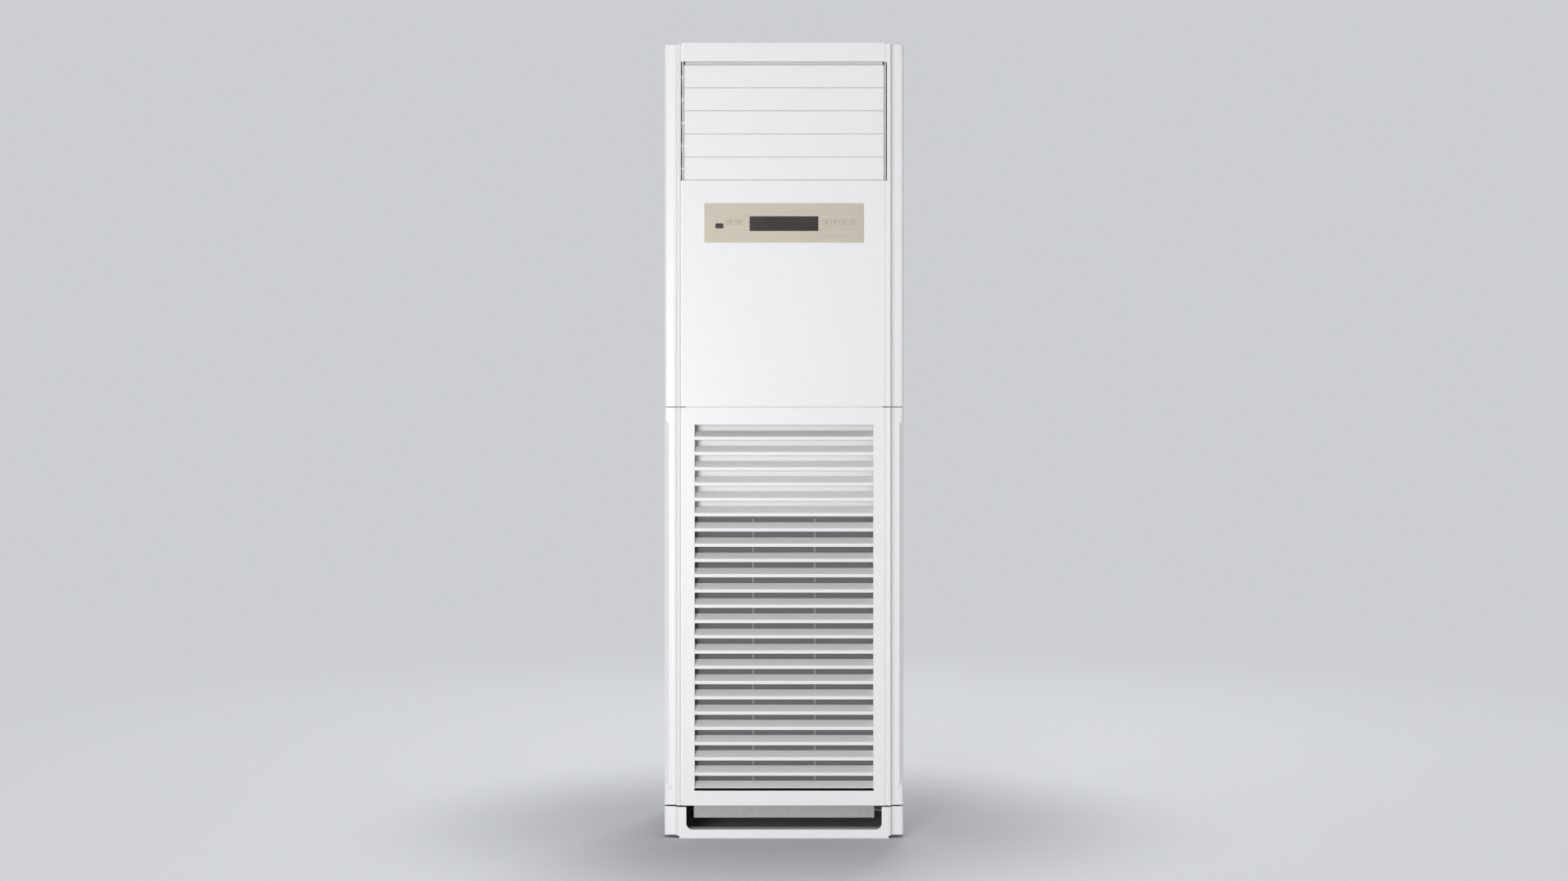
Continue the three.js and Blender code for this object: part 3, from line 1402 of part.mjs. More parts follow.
addPiece('base_surround', baseSurround(), 'whiteShell');
addPiece('base_pan', basePan(), 'zinc');
addPiece('side_panel_left', sidePanel(-1), 'whiteSteel');
addPiece('side_panel_right', sidePanel(1), 'whiteSteel');
addPiece('rear_panel_lower', lowerRearPanel(), 'whiteSteel');
addPiece('rear_panel_upper', rearPanel(upperBottom, sideTop), 'whiteSteel');
addPiece('top_cover', topCover(), 'whiteShell');
addPiece('wall_bracket', wallBracket(), 'zinc');
addPiece('pipe_grommet', pipeGrommet(), 'rubber');
addPiece('cable_gland', cableGland(), 'darkPlastic');
addPiece('upper_front_panel', upperFrontPanel(), 'whiteShell');
addPiece('intake_grille', intakeGrille(), 'whiteShell');
addPiece('air_filter', airFilter(), 'filterMesh');
for (const [name, side] of [['left', -1], ['right', 1]]) {
  const place = [side * lockScrewX, 0, grilleBottom + lockScrewRise];
  addPiece(`grille_lock_screw_${name}`, lockScrew(), 'whiteSteel', place);
}

addPiece('outlet_frame', outletFrame(), 'whiteInside');
for (let row = 0; row < louvreCount; row += 1) {
  addPiece(`louvre_${row + 1}`, louvre(), 'whiteShell', [0, louvrePivotY, louvreZ(row)]);
}
const motorPlace = [frameOuterX + seatGap, louvrePivotY, louvreZ((louvreCount - 1) / 2)];
addPiece('louvre_link', louvreLink(), 'whiteInside');
addPiece('louvre_motor', louvreMotor(), 'darkPlastic', motorPlace);
for (let column = 0; column < vaneCount; column += 1) {
  addPiece(`vane_${column + 1}`, vane(), 'whiteInside', [vaneX(column), vanePivotY, 0]);
}
addPiece('vane_link', vaneLink(), 'whiteInside');
addPiece('vane_motor', vaneMotor(), 'darkPlastic');
addPiece('air_guide', airGuide(), 'foam');

addPiece('display_plate', displayPlate(), 'champagne');
addPiece('display_window', displayWindow(), 'smoke');
addPiece('receiver_lens', receiverLens(), 'smoke');
addPiece('display_board', displayBoard(), 'circuit');
buttonXs.forEach((x, index) => addPiece(`button_${index + 1}`, pushButton(), 'champagne', [x, 0, buttonZ]));

addPiece('fan_scroll', fanScroll(), 'zinc');
addPiece('scroll_front', scrollFront(), 'zinc');
addPiece('blower_wheel', blowerWheel(), 'darkPlastic');
addPiece('motor_shaft', motorShaft(), 'steel');
addPiece('wheel_nut', wheelNut(), 'steel');
addPiece('fan_motor', fanMotor(), 'zinc');
addPiece('motor_bracket', motorBracket(), 'zinc');

addPiece('partition_plate', partitionPlate(), 'zinc');
addPiece('electrical_box', electricalBox(), 'zinc');
addPiece('electrical_cover', electricalCover(), 'whiteSteel');
addPiece('main_board', mainBoard(), 'circuit');
addPiece('terminal_block', terminalBlock(), 'darkPlastic');

const coilPlace = [0, coilCentreY, coilCentreZ];
addPiece('evaporator_coil', evaporatorCoil(), 'aluminium', coilPlace, [-leanAngle, 0, 0]);
addPiece('drain_pan', drainPan(), 'foam');
addPiece('drain_hose', drainHose(), 'rubber');
for (const [name, pipe] of Object.entries(coolantPipes)) addPiece(name, coolantPipe(pipe), 'copper');

export default cabinet;
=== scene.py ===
import json
import math

import bmesh
import bpy
from mathutils import Matrix, Vector

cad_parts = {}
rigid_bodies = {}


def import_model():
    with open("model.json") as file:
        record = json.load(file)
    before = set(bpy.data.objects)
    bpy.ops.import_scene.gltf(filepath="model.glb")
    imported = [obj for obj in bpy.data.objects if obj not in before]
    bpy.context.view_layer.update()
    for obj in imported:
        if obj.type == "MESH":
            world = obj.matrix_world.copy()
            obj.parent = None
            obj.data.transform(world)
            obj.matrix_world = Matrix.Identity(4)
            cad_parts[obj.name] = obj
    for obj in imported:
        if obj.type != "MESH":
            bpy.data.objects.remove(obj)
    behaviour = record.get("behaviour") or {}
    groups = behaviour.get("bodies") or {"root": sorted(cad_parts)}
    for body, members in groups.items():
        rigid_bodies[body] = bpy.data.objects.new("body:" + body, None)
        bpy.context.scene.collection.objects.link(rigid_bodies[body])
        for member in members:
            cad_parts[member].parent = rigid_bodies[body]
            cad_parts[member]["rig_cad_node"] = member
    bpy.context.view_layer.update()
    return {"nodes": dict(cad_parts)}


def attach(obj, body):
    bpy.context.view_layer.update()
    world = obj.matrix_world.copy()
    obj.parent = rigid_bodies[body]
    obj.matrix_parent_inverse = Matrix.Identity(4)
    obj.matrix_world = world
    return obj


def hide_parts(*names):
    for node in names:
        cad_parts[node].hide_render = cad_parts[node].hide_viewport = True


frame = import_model()

# ---------------------------------------------------------------------------
# Sizes of the cabinet, in millimetres
# ---------------------------------------------------------------------------

MM = 0.001
HALF_WIDTH = 275
HEIGHT = 1824
FRONT_Y = -209
FACE_Y = -207
SEAM_Y = -165
CASING_REAR_Y = 206
SHELL_WALL = 3
REAR_SKIN = 1.2
PLAY = 0.3
PAST = 1  # how far a cutter reaches past the surface it opens

# section of the front mouldings
FACE_HALF = 232
GROOVE_WIDTH = 4
GROOVE_DEPTH = 3
GROOVE_SLOPE = 0.6
BEAD_RADIUS = 5
COVE_WIDTH = 11
PILLAR_SETBACK = 12
CORNER_RADIUS = 7
BEAD_X = FACE_HALF + GROOVE_WIDTH + BEAD_RADIUS
COVE_X = BEAD_X + BEAD_RADIUS
STRIP_X = COVE_X + COVE_WIDTH
STRIP_Y = FACE_Y + PILLAR_SETBACK
CORNER_X = HALF_WIDTH - CORNER_RADIUS
CORNER_Y = STRIP_Y + CORNER_RADIUS

# heights
BASE_HEIGHT = 71.5
GRILLE_BOTTOM = 75
GRILLE_TOP = 988
UPPER_BOTTOM = 990
PILLAR_TOP = 1821

# air outlet
OUTLET_BOTTOM = 1508
OUTLET_TOP = 1781
OUTLET_HALF = FACE_HALF + GROOVE_WIDTH
OUTLET_CUT = 10
STOP_HALF = 227
STOP_FRONT = FACE_Y + 15
STOP_BACK = FACE_Y + 16.4

# tongue of the upper front behind the seam
TONGUE_HALF = FACE_HALF - 6
TONGUE_FRONT = FACE_Y + 4.6
TONGUE_BACK = FACE_Y + 6
TONGUE_DROP = 4
TONGUE_RISE = 6

# intake slots
SLOT_COUNT = 24
SLOT_PITCH = 35
SLAT_FACE = 8
SLAT_RISE = 13
SLAT_DEPTH = 22
SLAT_BACK = 3
SLAT_ROUND = 0.8
SLAT_EASE = 0.6
SLOT_HALF = 205
SLOT_BOTTOM = 116
SLOT_TOP = SLOT_BOTTOM + SLOT_COUNT * SLOT_PITCH - SLAT_FACE

# rails, lugs, locks and finger rebates of the grille
WEB_Y = FACE_Y + 2.5
RAIL_BACK = FACE_Y + 35.5
RAIL_WALL = 2
RAIL_OUTER = 215.5
RAIL_LIP = 206.5
RAIL_BOTTOM = GRILLE_BOTTOM + 24
LUG_NEAR = 201.5
LUG_FAR = 210.5
LUG_BACK = FACE_Y + 13
LUG_BOTTOM = GRILLE_BOTTOM + 3
LUG_TOP = GRILLE_BOTTOM + 14
LOCK_X = HALF_WIDTH - 12.5
LOCK_Z = GRILLE_BOTTOM + 41
LOCK_RADIUS = 2.8
REBATE_BOTTOM = GRILLE_BOTTOM + 52
REBATE_TOP = GRILLE_TOP - 39
REBATE_TAPER = 22
REBATE_DEPTH = 11
REBATE_RUN = 30

# base and lid
TOE_WIDTH = 448
TOE_HEIGHT = 90
TOE_RADIUS = 14
TOE_Z = 65
BAR_HALF = HALF_WIDTH - 35
BAR_BACK = FACE_Y + 38
BAR_BOTTOM = 17
BAR_TOP = 20
WELL_HALF = 249
WELL_BACK = CASING_REAR_Y - 38
FOOT_BACK = FACE_Y + 48
FOOT_GAP = 6
LID_PLAY = 0.4
LID_FRONT = SEAM_Y + 1.6
LID_SKIRT = 15

# display
DISPLAY_WIDTH = 365
DISPLAY_HEIGHT = 90
DISPLAY_BOTTOM = 1366
DISPLAY_RADIUS = 1.5
TRAY_MARGIN = 4.5
TRAY_PLAY = 0.5
TRAY_WALL = 2
TRAY_DEPTH = 10
WINDOW_WIDTH = 157
WINDOW_HEIGHT = 33
WINDOW_RADIUS = 0.8
WINDOW_Z = 1409
FLANGE = 3
LENS_X = -148
LENS_Z = 1404
LENS_WIDTH = 18
LENS_HEIGHT = 11
LENS_RADIUS = 3
BUTTON_XS = (-124, -104, 97, 117, 137, 157)
BUTTON_Z = 1412
BUTTON_WIDTH = 15
BUTTON_HEIGHT = 10
BUTTON_RADIUS = 2
HOLE_EASE = 0.2
BUTTON_FLANGE_HALF = (9, 6.2)
BUTTON_FLANGE = 0.8
STEM_RADIUS = 2
STEM_BACK = FACE_Y + 4.5
BOARD_SIDE_Y = FACE_Y + 1.5

# rear
PANEL_HALF = HALF_WIDTH - 0.5
REAR_PANELS = {"lower": (72, 988, 270, 930), "upper": (990, 1805.5, 1050, 1690)}
SWAGE_WIDTH = 430
SWAGE_RADIUS = 24
SCREW_X = 266
SCREW_HEIGHTS = (90, 390, 690, 970, 1008, 1270, 1530, 1788)
PIPE_HOLE = (165, 190)
PIPE_HOLE_RADIUS = 38
GROMMET_LIP = 4
GROMMET_WALL = 6
GROMMET_FLANGE = 2.5
GLAND = (-90, 150)
GLAND_HOLE_RADIUS = 9.3

# filter
FILTER_HALF = 213
FILTER_FRONT = FACE_Y + 27
FILTER_MIDDLE = FILTER_FRONT + 3
FILTER_BACK = FILTER_FRONT + 6
FILTER_BOTTOM = 101.3
FILTER_TOP = 742
FILTER_RIM = 8
FILTER_BAR_X = 71
FILTER_BAR_HALF = 2.5
NET_HALF = 0.4

# coil, in its own upright frame before it leans back
COIL_HALF = 225
COIL_DEEP = 30
COIL_LONG = 265
COIL_CENTRE = (12, 1226)
COIL_LEAN = math.asin(281 / 530)
FIN_PITCH = 3
FIN_HALF = 0.15
END_PLATE = 2
TAB_REACH = HALF_WIDTH - 1.5
TAB_HEIGHT = 34
TAB_LEVELS = (-COIL_LONG + 90, COIL_LONG - 110)
BEND_ROWS = 8
BEND_PITCH = 62
BEND_START = 44.5
BEND_RADIUS = 9.5
BEND_TUBE = 4.4

# pipes
PIPE_X = 250
PIPE_Y = 10
PIPE_END_Y = 176
HOSE_X = 255
HOSE_Y = -100
HOSE_RADIUS = 9

# ---------------------------------------------------------------------------
# Materials
# ---------------------------------------------------------------------------

NOISE_DETAIL = 3.0
RAMP_STOPS = (0.3, 0.7)
ROUGHNESS_DRIFT = 0.06
LOWEST_ROUGHNESS = 0.02
RELIEF_DEPTH = 0.0004

# colours are sRGB from 0 to 1, grain is the scale of the noise, spread how far the colour varies
FINISHES = {
    "white_shell": dict(rgb=(0.945, 0.945, 0.945), roughness=0.34, grain=900, bump=0.05, spread=0.008),
    "white_steel": dict(rgb=(0.93, 0.93, 0.928), roughness=0.42, grain=500, bump=0.12, spread=0.012),
    "white_inside": dict(rgb=(0.89, 0.89, 0.89), roughness=0.5, grain=700, bump=0.06, spread=0.012),
    "zinc": dict(rgb=(0.62, 0.625, 0.63), roughness=0.5, metallic=0.35, grain=90, bump=0.03, spread=0.02),
    "champagne": dict(rgb=(0.765, 0.737, 0.672), roughness=0.45, metallic=0.12, grain=140, bump=0.08, spread=0.03,
                      stretch=(0.04, 1, 6)),
    "smoke": dict(rgb=(0.165, 0.13, 0.105), roughness=0.24, grain=40, bump=0.0, spread=0.01),
    "dark_plastic": dict(rgb=(0.17, 0.172, 0.18), roughness=0.55, grain=600, bump=0.10, spread=0.02),
    "filter_mesh": dict(rgb=(0.44, 0.445, 0.45), roughness=0.8, grain=900, bump=0.5, spread=0.06),
    "foam": dict(rgb=(0.953, 0.953, 0.94), roughness=0.85, grain=260, bump=0.35, spread=0.025),
    "aluminium": dict(rgb=(0.725, 0.737, 0.75), roughness=0.36, metallic=0.85, grain=120, bump=0.05, spread=0.03),
    "copper": dict(rgb=(0.72, 0.44, 0.29), roughness=0.32, metallic=0.9, grain=80, bump=0.03, spread=0.05),
    "steel": dict(rgb=(0.6, 0.61, 0.62), roughness=0.3, metallic=0.9, grain=200, bump=0.03, spread=0.03),
    "circuit": dict(rgb=(0.184, 0.42, 0.27), roughness=0.45, grain=160, bump=0.06, spread=0.04),
    "rubber": dict(rgb=(0.165, 0.165, 0.165), roughness=0.8, grain=500, bump=0.15, spread=0.02),
    "print": dict(rgb=(0.52, 0.495, 0.44), roughness=0.5, grain=400, bump=0.0, spread=0.01),
    "filter_frame": dict(rgb=(0.55, 0.555, 0.56), roughness=0.6, grain=500, bump=0.05, spread=0.02),
}


def linear(value):
    """An sRGB channel from 0 to 1 as a linear one."""
    return value / 12.92 if value <= 0.04045 else ((value + 0.055) / 1.055) ** 2.4


def surface(name, rgb, roughness, grain, bump, spread, metallic=0.0, stretch=(1, 1, 1)):
    """A procedural finish: fine noise varies the colour a little, the roughness and the relief."""
    material = bpy.data.materials.new(name)
    material.use_nodes = True
    nodes = material.node_tree.nodes
    links = material.node_tree.links
    shader = nodes["Principled BSDF"]
    shader.inputs["Metallic"].default_value = metallic
    place = nodes.new("ShaderNodeTexCoord")
    scale = nodes.new("ShaderNodeMapping")
    scale.inputs["Scale"].default_value = stretch
    noise = nodes.new("ShaderNodeTexNoise")
    noise.inputs["Scale"].default_value = grain
    noise.inputs["Detail"].default_value = NOISE_DETAIL
    ramp = nodes.new("ShaderNodeValToRGB")
    low = [linear(max(channel - spread, 0.0)) for channel in rgb]
    high = [linear(min(channel + spread * 0.5, 1.0)) for channel in rgb]
    for index, colour in enumerate((low, high)):
        ramp.color_ramp.elements[index].position = RAMP_STOPS[index]
        ramp.color_ramp.elements[index].color = (*colour, 1.0)
    gloss = nodes.new("ShaderNodeMapRange")
    gloss.inputs["To Min"].default_value = max(roughness - ROUGHNESS_DRIFT, LOWEST_ROUGHNESS)
    gloss.inputs["To Max"].default_value = min(roughness + ROUGHNESS_DRIFT, 1.0)
    relief = nodes.new("ShaderNodeBump")
    relief.inputs["Strength"].default_value = bump
    relief.inputs["Distance"].default_value = RELIEF_DEPTH
    links.new(place.outputs["Object"], scale.inputs["Vector"])
    links.new(scale.outputs["Vector"], noise.inputs["Vector"])
    links.new(noise.outputs["Fac"], ramp.inputs["Fac"])
    links.new(noise.outputs["Fac"], gloss.inputs["Value"])
    links.new(noise.outputs["Fac"], relief.inputs["Height"])
    links.new(ramp.outputs["Color"], shader.inputs["Base Color"])
    links.new(gloss.outputs["Result"], shader.inputs["Roughness"])
    links.new(relief.outputs["Normal"], shader.inputs["Normal"])
    return material


MATERIALS = {name: surface(name, **finish) for name, finish in FINISHES.items()}

# ---------------------------------------------------------------------------
# Outlines, in millimetres
# ---------------------------------------------------------------------------


def arc(centre_u, centre_v, radius_u, radius_v, start, end, steps):
    """Points of an arc, angles in degrees."""
    angles = [math.radians(start + (end - start) * step / steps) for step in range(steps + 1)]
    return [(centre_u + radius_u * math.cos(a), centre_v + radius_v * math.sin(a)) for a in angles]


def bar(width, height, u=0.0, v=0.0):
    """A plain rectangle about its centre."""
    return [(u - width / 2, v - height / 2), (u + width / 2, v - height / 2),
            (u + width / 2, v + height / 2), (u - width / 2, v + height / 2)]


def rounded(width, height, radius, u=0.0, v=0.0, steps=6):
    """A rectangle with round corners about its centre."""
    across = width / 2 - radius
    up = height / 2 - radius
    points = []
    for du, dv, start in ((across, up, 0), (-across, up, 90), (-across, -up, 180), (across, -up, 270)):
        points += arc(u + du, v + dv, radius, radius, start, start + 90, steps)
    return points


def disc(u, v, radius, steps=32):
    """A circle, or a polygon of few steps."""
    return arc(u, v, radius, radius, 0, 360, steps)[:-1]


def mirrored(outline):
    """The outline on the other side of the middle, in the same sense of turn."""
    return [(-u, v) for u, v in reversed(outline)]


def span(side, near, far):
    """Two distances from the middle as places on one side, the lower place first."""
    return sorted((side * near, side * far))


# ---------------------------------------------------------------------------
# Meshes. A body named blank only cuts or joins another one.
# ---------------------------------------------------------------------------

MERGE_DISTANCE = 1e-6
LEAST_EDGE = 1e-7
LEAST_AREA = 1e-12
LINE_TENSION = 0.3
EDGE_ANGLE = math.radians(35)


def mesh_object(name, points, faces):
    """A mesh from points in millimetres, its faces turned outwards."""
    mesh = bpy.data.meshes.new(name)
    mesh.from_pydata([Vector(point) * MM for point in points], [], faces)
    shape = bmesh.new()
    shape.from_mesh(mesh)
    bmesh.ops.recalc_face_normals(shape, faces=shape.faces)
    shape.to_mesh(mesh)
    shape.free()
    made = bpy.data.objects.new(name, mesh)
    bpy.context.scene.collection.objects.link(made)
    return made


def on_axis(axis, u, v, along):
    """A point from its two outline coordinates and its place along the axis."""
    return {"x": (along, u, v), "y": (u, along, v), "z": (u, v, along)}[axis]


def prism(name, axis, outline, start, end):
    """An outline pushed straight along an axis, between two places on it."""
    count = len(outline)
    points = [on_axis(axis, u, v, along) for along in (start, end) for u, v in outline]
    sides = [(i, (i + 1) % count, count + (i + 1) % count, count + i) for i in range(count)]
    return mesh_object(name, points, [tuple(range(count)), tuple(range(2 * count - 1, count - 1, -1)), *sides])


def block(name, x0, x1, y0, y1, z0, z1):
    """A box between two corners."""
    return prism(name, "z", [(x0, y0), (x1, y0), (x1, y1), (x0, y1)], z0, z1)


def combine(piece, others, operation):
    """Cuts, joins or crosses a piece with others, one after the other, and keeps the result as its mesh."""
    for other in others:
        step = piece.modifiers.new("step", "BOOLEAN")
        step.operation = operation
        step.solver = "EXACT"
        step.object = other
        evaluated = piece.evaluated_get(bpy.context.evaluated_depsgraph_get())
        mesh = bpy.data.meshes.new_from_object(evaluated)
        piece.modifiers.clear()
        piece.data = mesh
        bpy.data.objects.remove(other)
    return piece


def cut(piece, *others):
    """A piece less others."""
    return combine(piece, others, "DIFFERENCE")


def gather(piece, *others):
    """One object from several closed bodies, left as they are."""
    shape = bmesh.new()
    shape.from_mesh(piece.data)
    for other in others:
        shape.from_mesh(other.data)
        bpy.data.objects.remove(other)
    shape.to_mesh(piece.data)
    shape.free()
    return piece


def turned(name, centre, profile, steps):
    """A ring or a solid about an axis along y, from a closed profile of (radius, y)."""
    points = []
    for step in range(steps):
        angle = 2 * math.pi * step / steps
        for radius, y in profile:
            points.append((centre[0] + radius * math.cos(angle), y, centre[1] + radius * math.sin(angle)))
    rows = len(profile)
    faces = []
    for step in range(steps):
        after = (step + 1) % steps
        for row in range(rows):
            below = (row + 1) % rows
            faces.append((step * rows + row, after * rows + row, after * rows + below, step * rows + below))
    made = mesh_object(name, points, faces)
    shape = bmesh.new()
    shape.from_mesh(made.data)
    bmesh.ops.remove_doubles(shape, verts=shape.verts, dist=MERGE_DISTANCE)
    bmesh.ops.dissolve_degenerate(shape, edges=shape.edges, dist=LEAST_EDGE)
    flat = [face for face in shape.faces if face.calc_area() < LEAST_AREA]
    bmesh.ops.delete(shape, geom=flat, context="FACES")
    bmesh.ops.recalc_face_normals(shape, faces=shape.faces)
    shape.to_mesh(made.data)
    shape.free()
    return made


def smooth_line(points, steps):
    """A smooth line through points, each with tangents along its neighbours."""
    knots = [Vector(point) for point in points]
    first = knots[0] * 2 - knots[1]
    last = knots[-1] * 2 - knots[-2]
    padded = [first, *knots, last]
    line = []
    for index in range(1, len(padded) - 2):
        before, a, b, after = padded[index - 1:index + 3]
        leave = (b - before) * LINE_TENSION
        arrive = (after - a) * LINE_TENSION
        for step in range(steps):
            t = step / steps
            line.append(a * (2 * t**3 - 3 * t**2 + 1) + leave * (t**3 - 2 * t**2 + t)
                        + b * (3 * t**2 - 2 * t**3) + arrive * (t**3 - t**2))
    return [*line, knots[-1]]


def tube(name, points, radius, sides=20, steps=8):
    """A round bar along a smooth line."""
    line = smooth_line(points, steps)
    spokes = [2 * math.pi * k / sides for k in range(sides)]
    normal = Vector((0, 1, 0))
    rings = []
    for index, point in enumerate(line):
        ahead = line[min(index + 1, len(line) - 1)] - line[max(index - 1, 0)]
        ahead.normalize()
        normal = normal - ahead * normal.dot(ahead)
        if normal.length < 1e-3:
            normal = ahead.orthogonal()
        normal.normalize()
        across = ahead.cross(normal)
        rings.append([point + (normal * math.cos(a) + across * math.sin(a)) * radius for a in spokes])
    count = len(rings)
    faces = [(r * sides + k, r * sides + (k + 1) % sides, (r + 1) * sides + (k + 1) % sides, (r + 1) * sides + k)
             for r in range(count - 1) for k in range(sides)]
    faces += [tuple(range(sides)), tuple(range((count - 1) * sides, count * sides))]
    return mesh_object(name, [point for ring in rings for point in ring], faces)


def dress(piece, slot, width=0.4, segments=2):
    """Gives a piece its finish, smooth shading and small round edges."""
    piece.data.materials.clear()
    piece.data.materials.append(MATERIALS[slot])
    if "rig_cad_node" not in piece:
        piece.data.polygons.foreach_set("use_smooth", [True] * len(piece.data.polygons))
        piece.data.set_sharp_from_angle(angle=EDGE_ANGLE)
    if width:
        edge = piece.modifiers.new("edge", "BEVEL")
        edge.limit_method = "ANGLE"
        edge.angle_limit = EDGE_ANGLE
        edge.width = width * MM
        edge.segments = segments
        edge.harden_normals = True
        edge.use_clamp_overlap = True
    return piece


def place(piece, body, *nodes):
    """Puts a piece on a body and lets it stand for CAD nodes."""
    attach(piece, body)
    if nodes:
        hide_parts(*nodes)


# ---------------------------------------------------------------------------
# Section of the front mouldings
# ---------------------------------------------------------------------------


def outer_half(with_groove, rear):
    """Outside of the right half of the front, from the face to the rear edge of the side return."""
    start = 180 + math.degrees(math.asin((BEAD_RADIUS - GROOVE_DEPTH) / BEAD_RADIUS))
    centre = FACE_Y + BEAD_RADIUS
    if with_groove:
        head = [(FACE_HALF, FACE_Y), (FACE_HALF + GROOVE_SLOPE, FACE_Y + GROOVE_DEPTH)]
        head += arc(BEAD_X, centre, BEAD_RADIUS, BEAD_RADIUS, start, 360, 12)
    else:
        head = arc(BEAD_X, centre, BEAD_RADIUS, BEAD_RADIUS, 270, 360, 8)
    cove = arc(STRIP_X, centre, -COVE_WIDTH, PILLAR_SETBACK - BEAD_RADIUS, 0, 90, 10)[1:]
    return [*head, *cove, *arc(CORNER_X, CORNER_Y, CORNER_RADIUS, CORNER_RADIUS, 270, 360, 8), (HALF_WIDTH, rear)]


def inner_half(rear, inset=0.0):
    """Inside of the right half of the front, from the rear edge of the side return to the face."""
    points = [
        (HALF_WIDTH - SHELL_WALL, CORNER_Y + CORNER_RADIUS + 1),
        (CORNER_X - CORNER_RADIUS + 1, STRIP_Y + SHELL_WALL + 1),
        (COVE_X + COVE_WIDTH / 4, STRIP_Y + SHELL_WALL - 0.5),
        (BEAD_X + 1, FACE_Y + 2 * SHELL_WALL + 1),
        (BEAD_X - 2, FACE_Y + GROOVE_DEPTH + SHELL_WALL),
        (FACE_HALF - SHELL_WALL, FACE_Y + GROOVE_DEPTH + SHELL_WALL),
        (FACE_HALF - SHELL_WALL, FACE_Y + SHELL_WALL),
    ]
    return [(HALF_WIDTH - SHELL_WALL - inset, rear), *((x - inset, y + inset) for x, y in points)]


def front_shell(name, bottom, top):
    """The thin wall of the front mouldings between two heights."""
    outline = [*outer_half(True, SEAM_Y), *inner_half(SEAM_Y),
               *mirrored(inner_half(SEAM_Y)), *mirrored(outer_half(True, SEAM_Y))]
    return prism(name, "z", outline, bottom, top)


# ---------------------------------------------------------------------------
# Upper front, grille, base and lid
# ---------------------------------------------------------------------------


def upper_front():
    """Front wall with its openings for the louvres and the display, and the tongue behind the seam below."""
    tray_half = DISPLAY_WIDTH / 2 - TRAY_MARGIN
    before = FACE_Y - PAST
    panel = cut(
        front_shell("upper_front", UPPER_BOTTOM, HEIGHT),
        block("blank", -OUTLET_HALF, OUTLET_HALF, before, FACE_Y + OUTLET_CUT, OUTLET_BOTTOM, OUTLET_TOP),
        block("blank", -tray_half, tray_half, before, FACE_Y + 5, DISPLAY_BOTTOM + TRAY_MARGIN,
              DISPLAY_BOTTOM + DISPLAY_HEIGHT - TRAY_MARGIN),
        *(block("blank", *span(side, OUTLET_HALF, HALF_WIDTH + PAST), before, SEAM_Y + PAST, PILLAR_TOP, HEIGHT + PAST)
          for side in (1, -1)),
    )
    top = UPPER_BOTTOM + TONGUE_RISE
    tongue = [block("blank", -TONGUE_HALF, TONGUE_HALF, TONGUE_FRONT, TONGUE_BACK, UPPER_BOTTOM - TONGUE_DROP, top),
              block("blank", -TONGUE_HALF, TONGUE_HALF, WEB_Y, FACE_Y + 5, UPPER_BOTTOM + 2, top)]
    place(dress(gather(panel, *tongue), "white_shell", 0.4, 3), "cabinet", "upper_front_panel")


def outlet_stop():
    """Strip behind the gap over the top louvre."""
    strip = block("outlet_stop", -STOP_HALF, STOP_HALF, STOP_FRONT, STOP_BACK, OUTLET_TOP - 7, OUTLET_TOP + 2)
    place(dress(strip, "white_inside", 0.3), "cabinet")


def slat_outline(bottom):
    """Section of one slat: a narrow front edge and a blade that climbs to the rear."""
    top = bottom + SLAT_FACE
    back = FACE_Y + SLAT_DEPTH
    return [(FACE_Y, bottom + SLAT_ROUND), (FACE_Y, top - SLAT_ROUND), (FACE_Y + SLAT_ROUND, top),
            (WEB_Y, top + SLAT_EASE), (back, top + SLAT_RISE), (back, top + SLAT_RISE - SLAT_BACK),
            (FACE_Y + SLAT_BACK + 1, bottom + SLAT_EASE), (FACE_Y + SLAT_ROUND, bottom)]


def grip_rebate(side):
    """Cutter for the finger rebate along the outer corner of a pillar, with tapered ends."""
    bottom = REBATE_BOTTOM - REBATE_TAPER
    top = REBATE_TOP + REBATE_TAPER
    inner = HALF_WIDTH - REBATE_DEPTH
    outer = HALF_WIDTH + PAST
    wedge = [(inner, STRIP_Y - PAST), (outer, STRIP_Y - PAST), (outer, STRIP_Y + REBATE_DEPTH)]
    slope = [(inner - REBATE_RUN, bottom), (outer + PAST, REBATE_BOTTOM), (outer + PAST, REBATE_TOP),
             (inner - REBATE_RUN, top)]
    if side < 0:
        wedge = mirrored(wedge)
        slope = mirrored(slope)
    cutter = prism("blank", "z", wedge, bottom, top)
    return combine(cutter, [prism("blank", "y", slope, FACE_Y - PAST, SEAM_Y)], "INTERSECT")


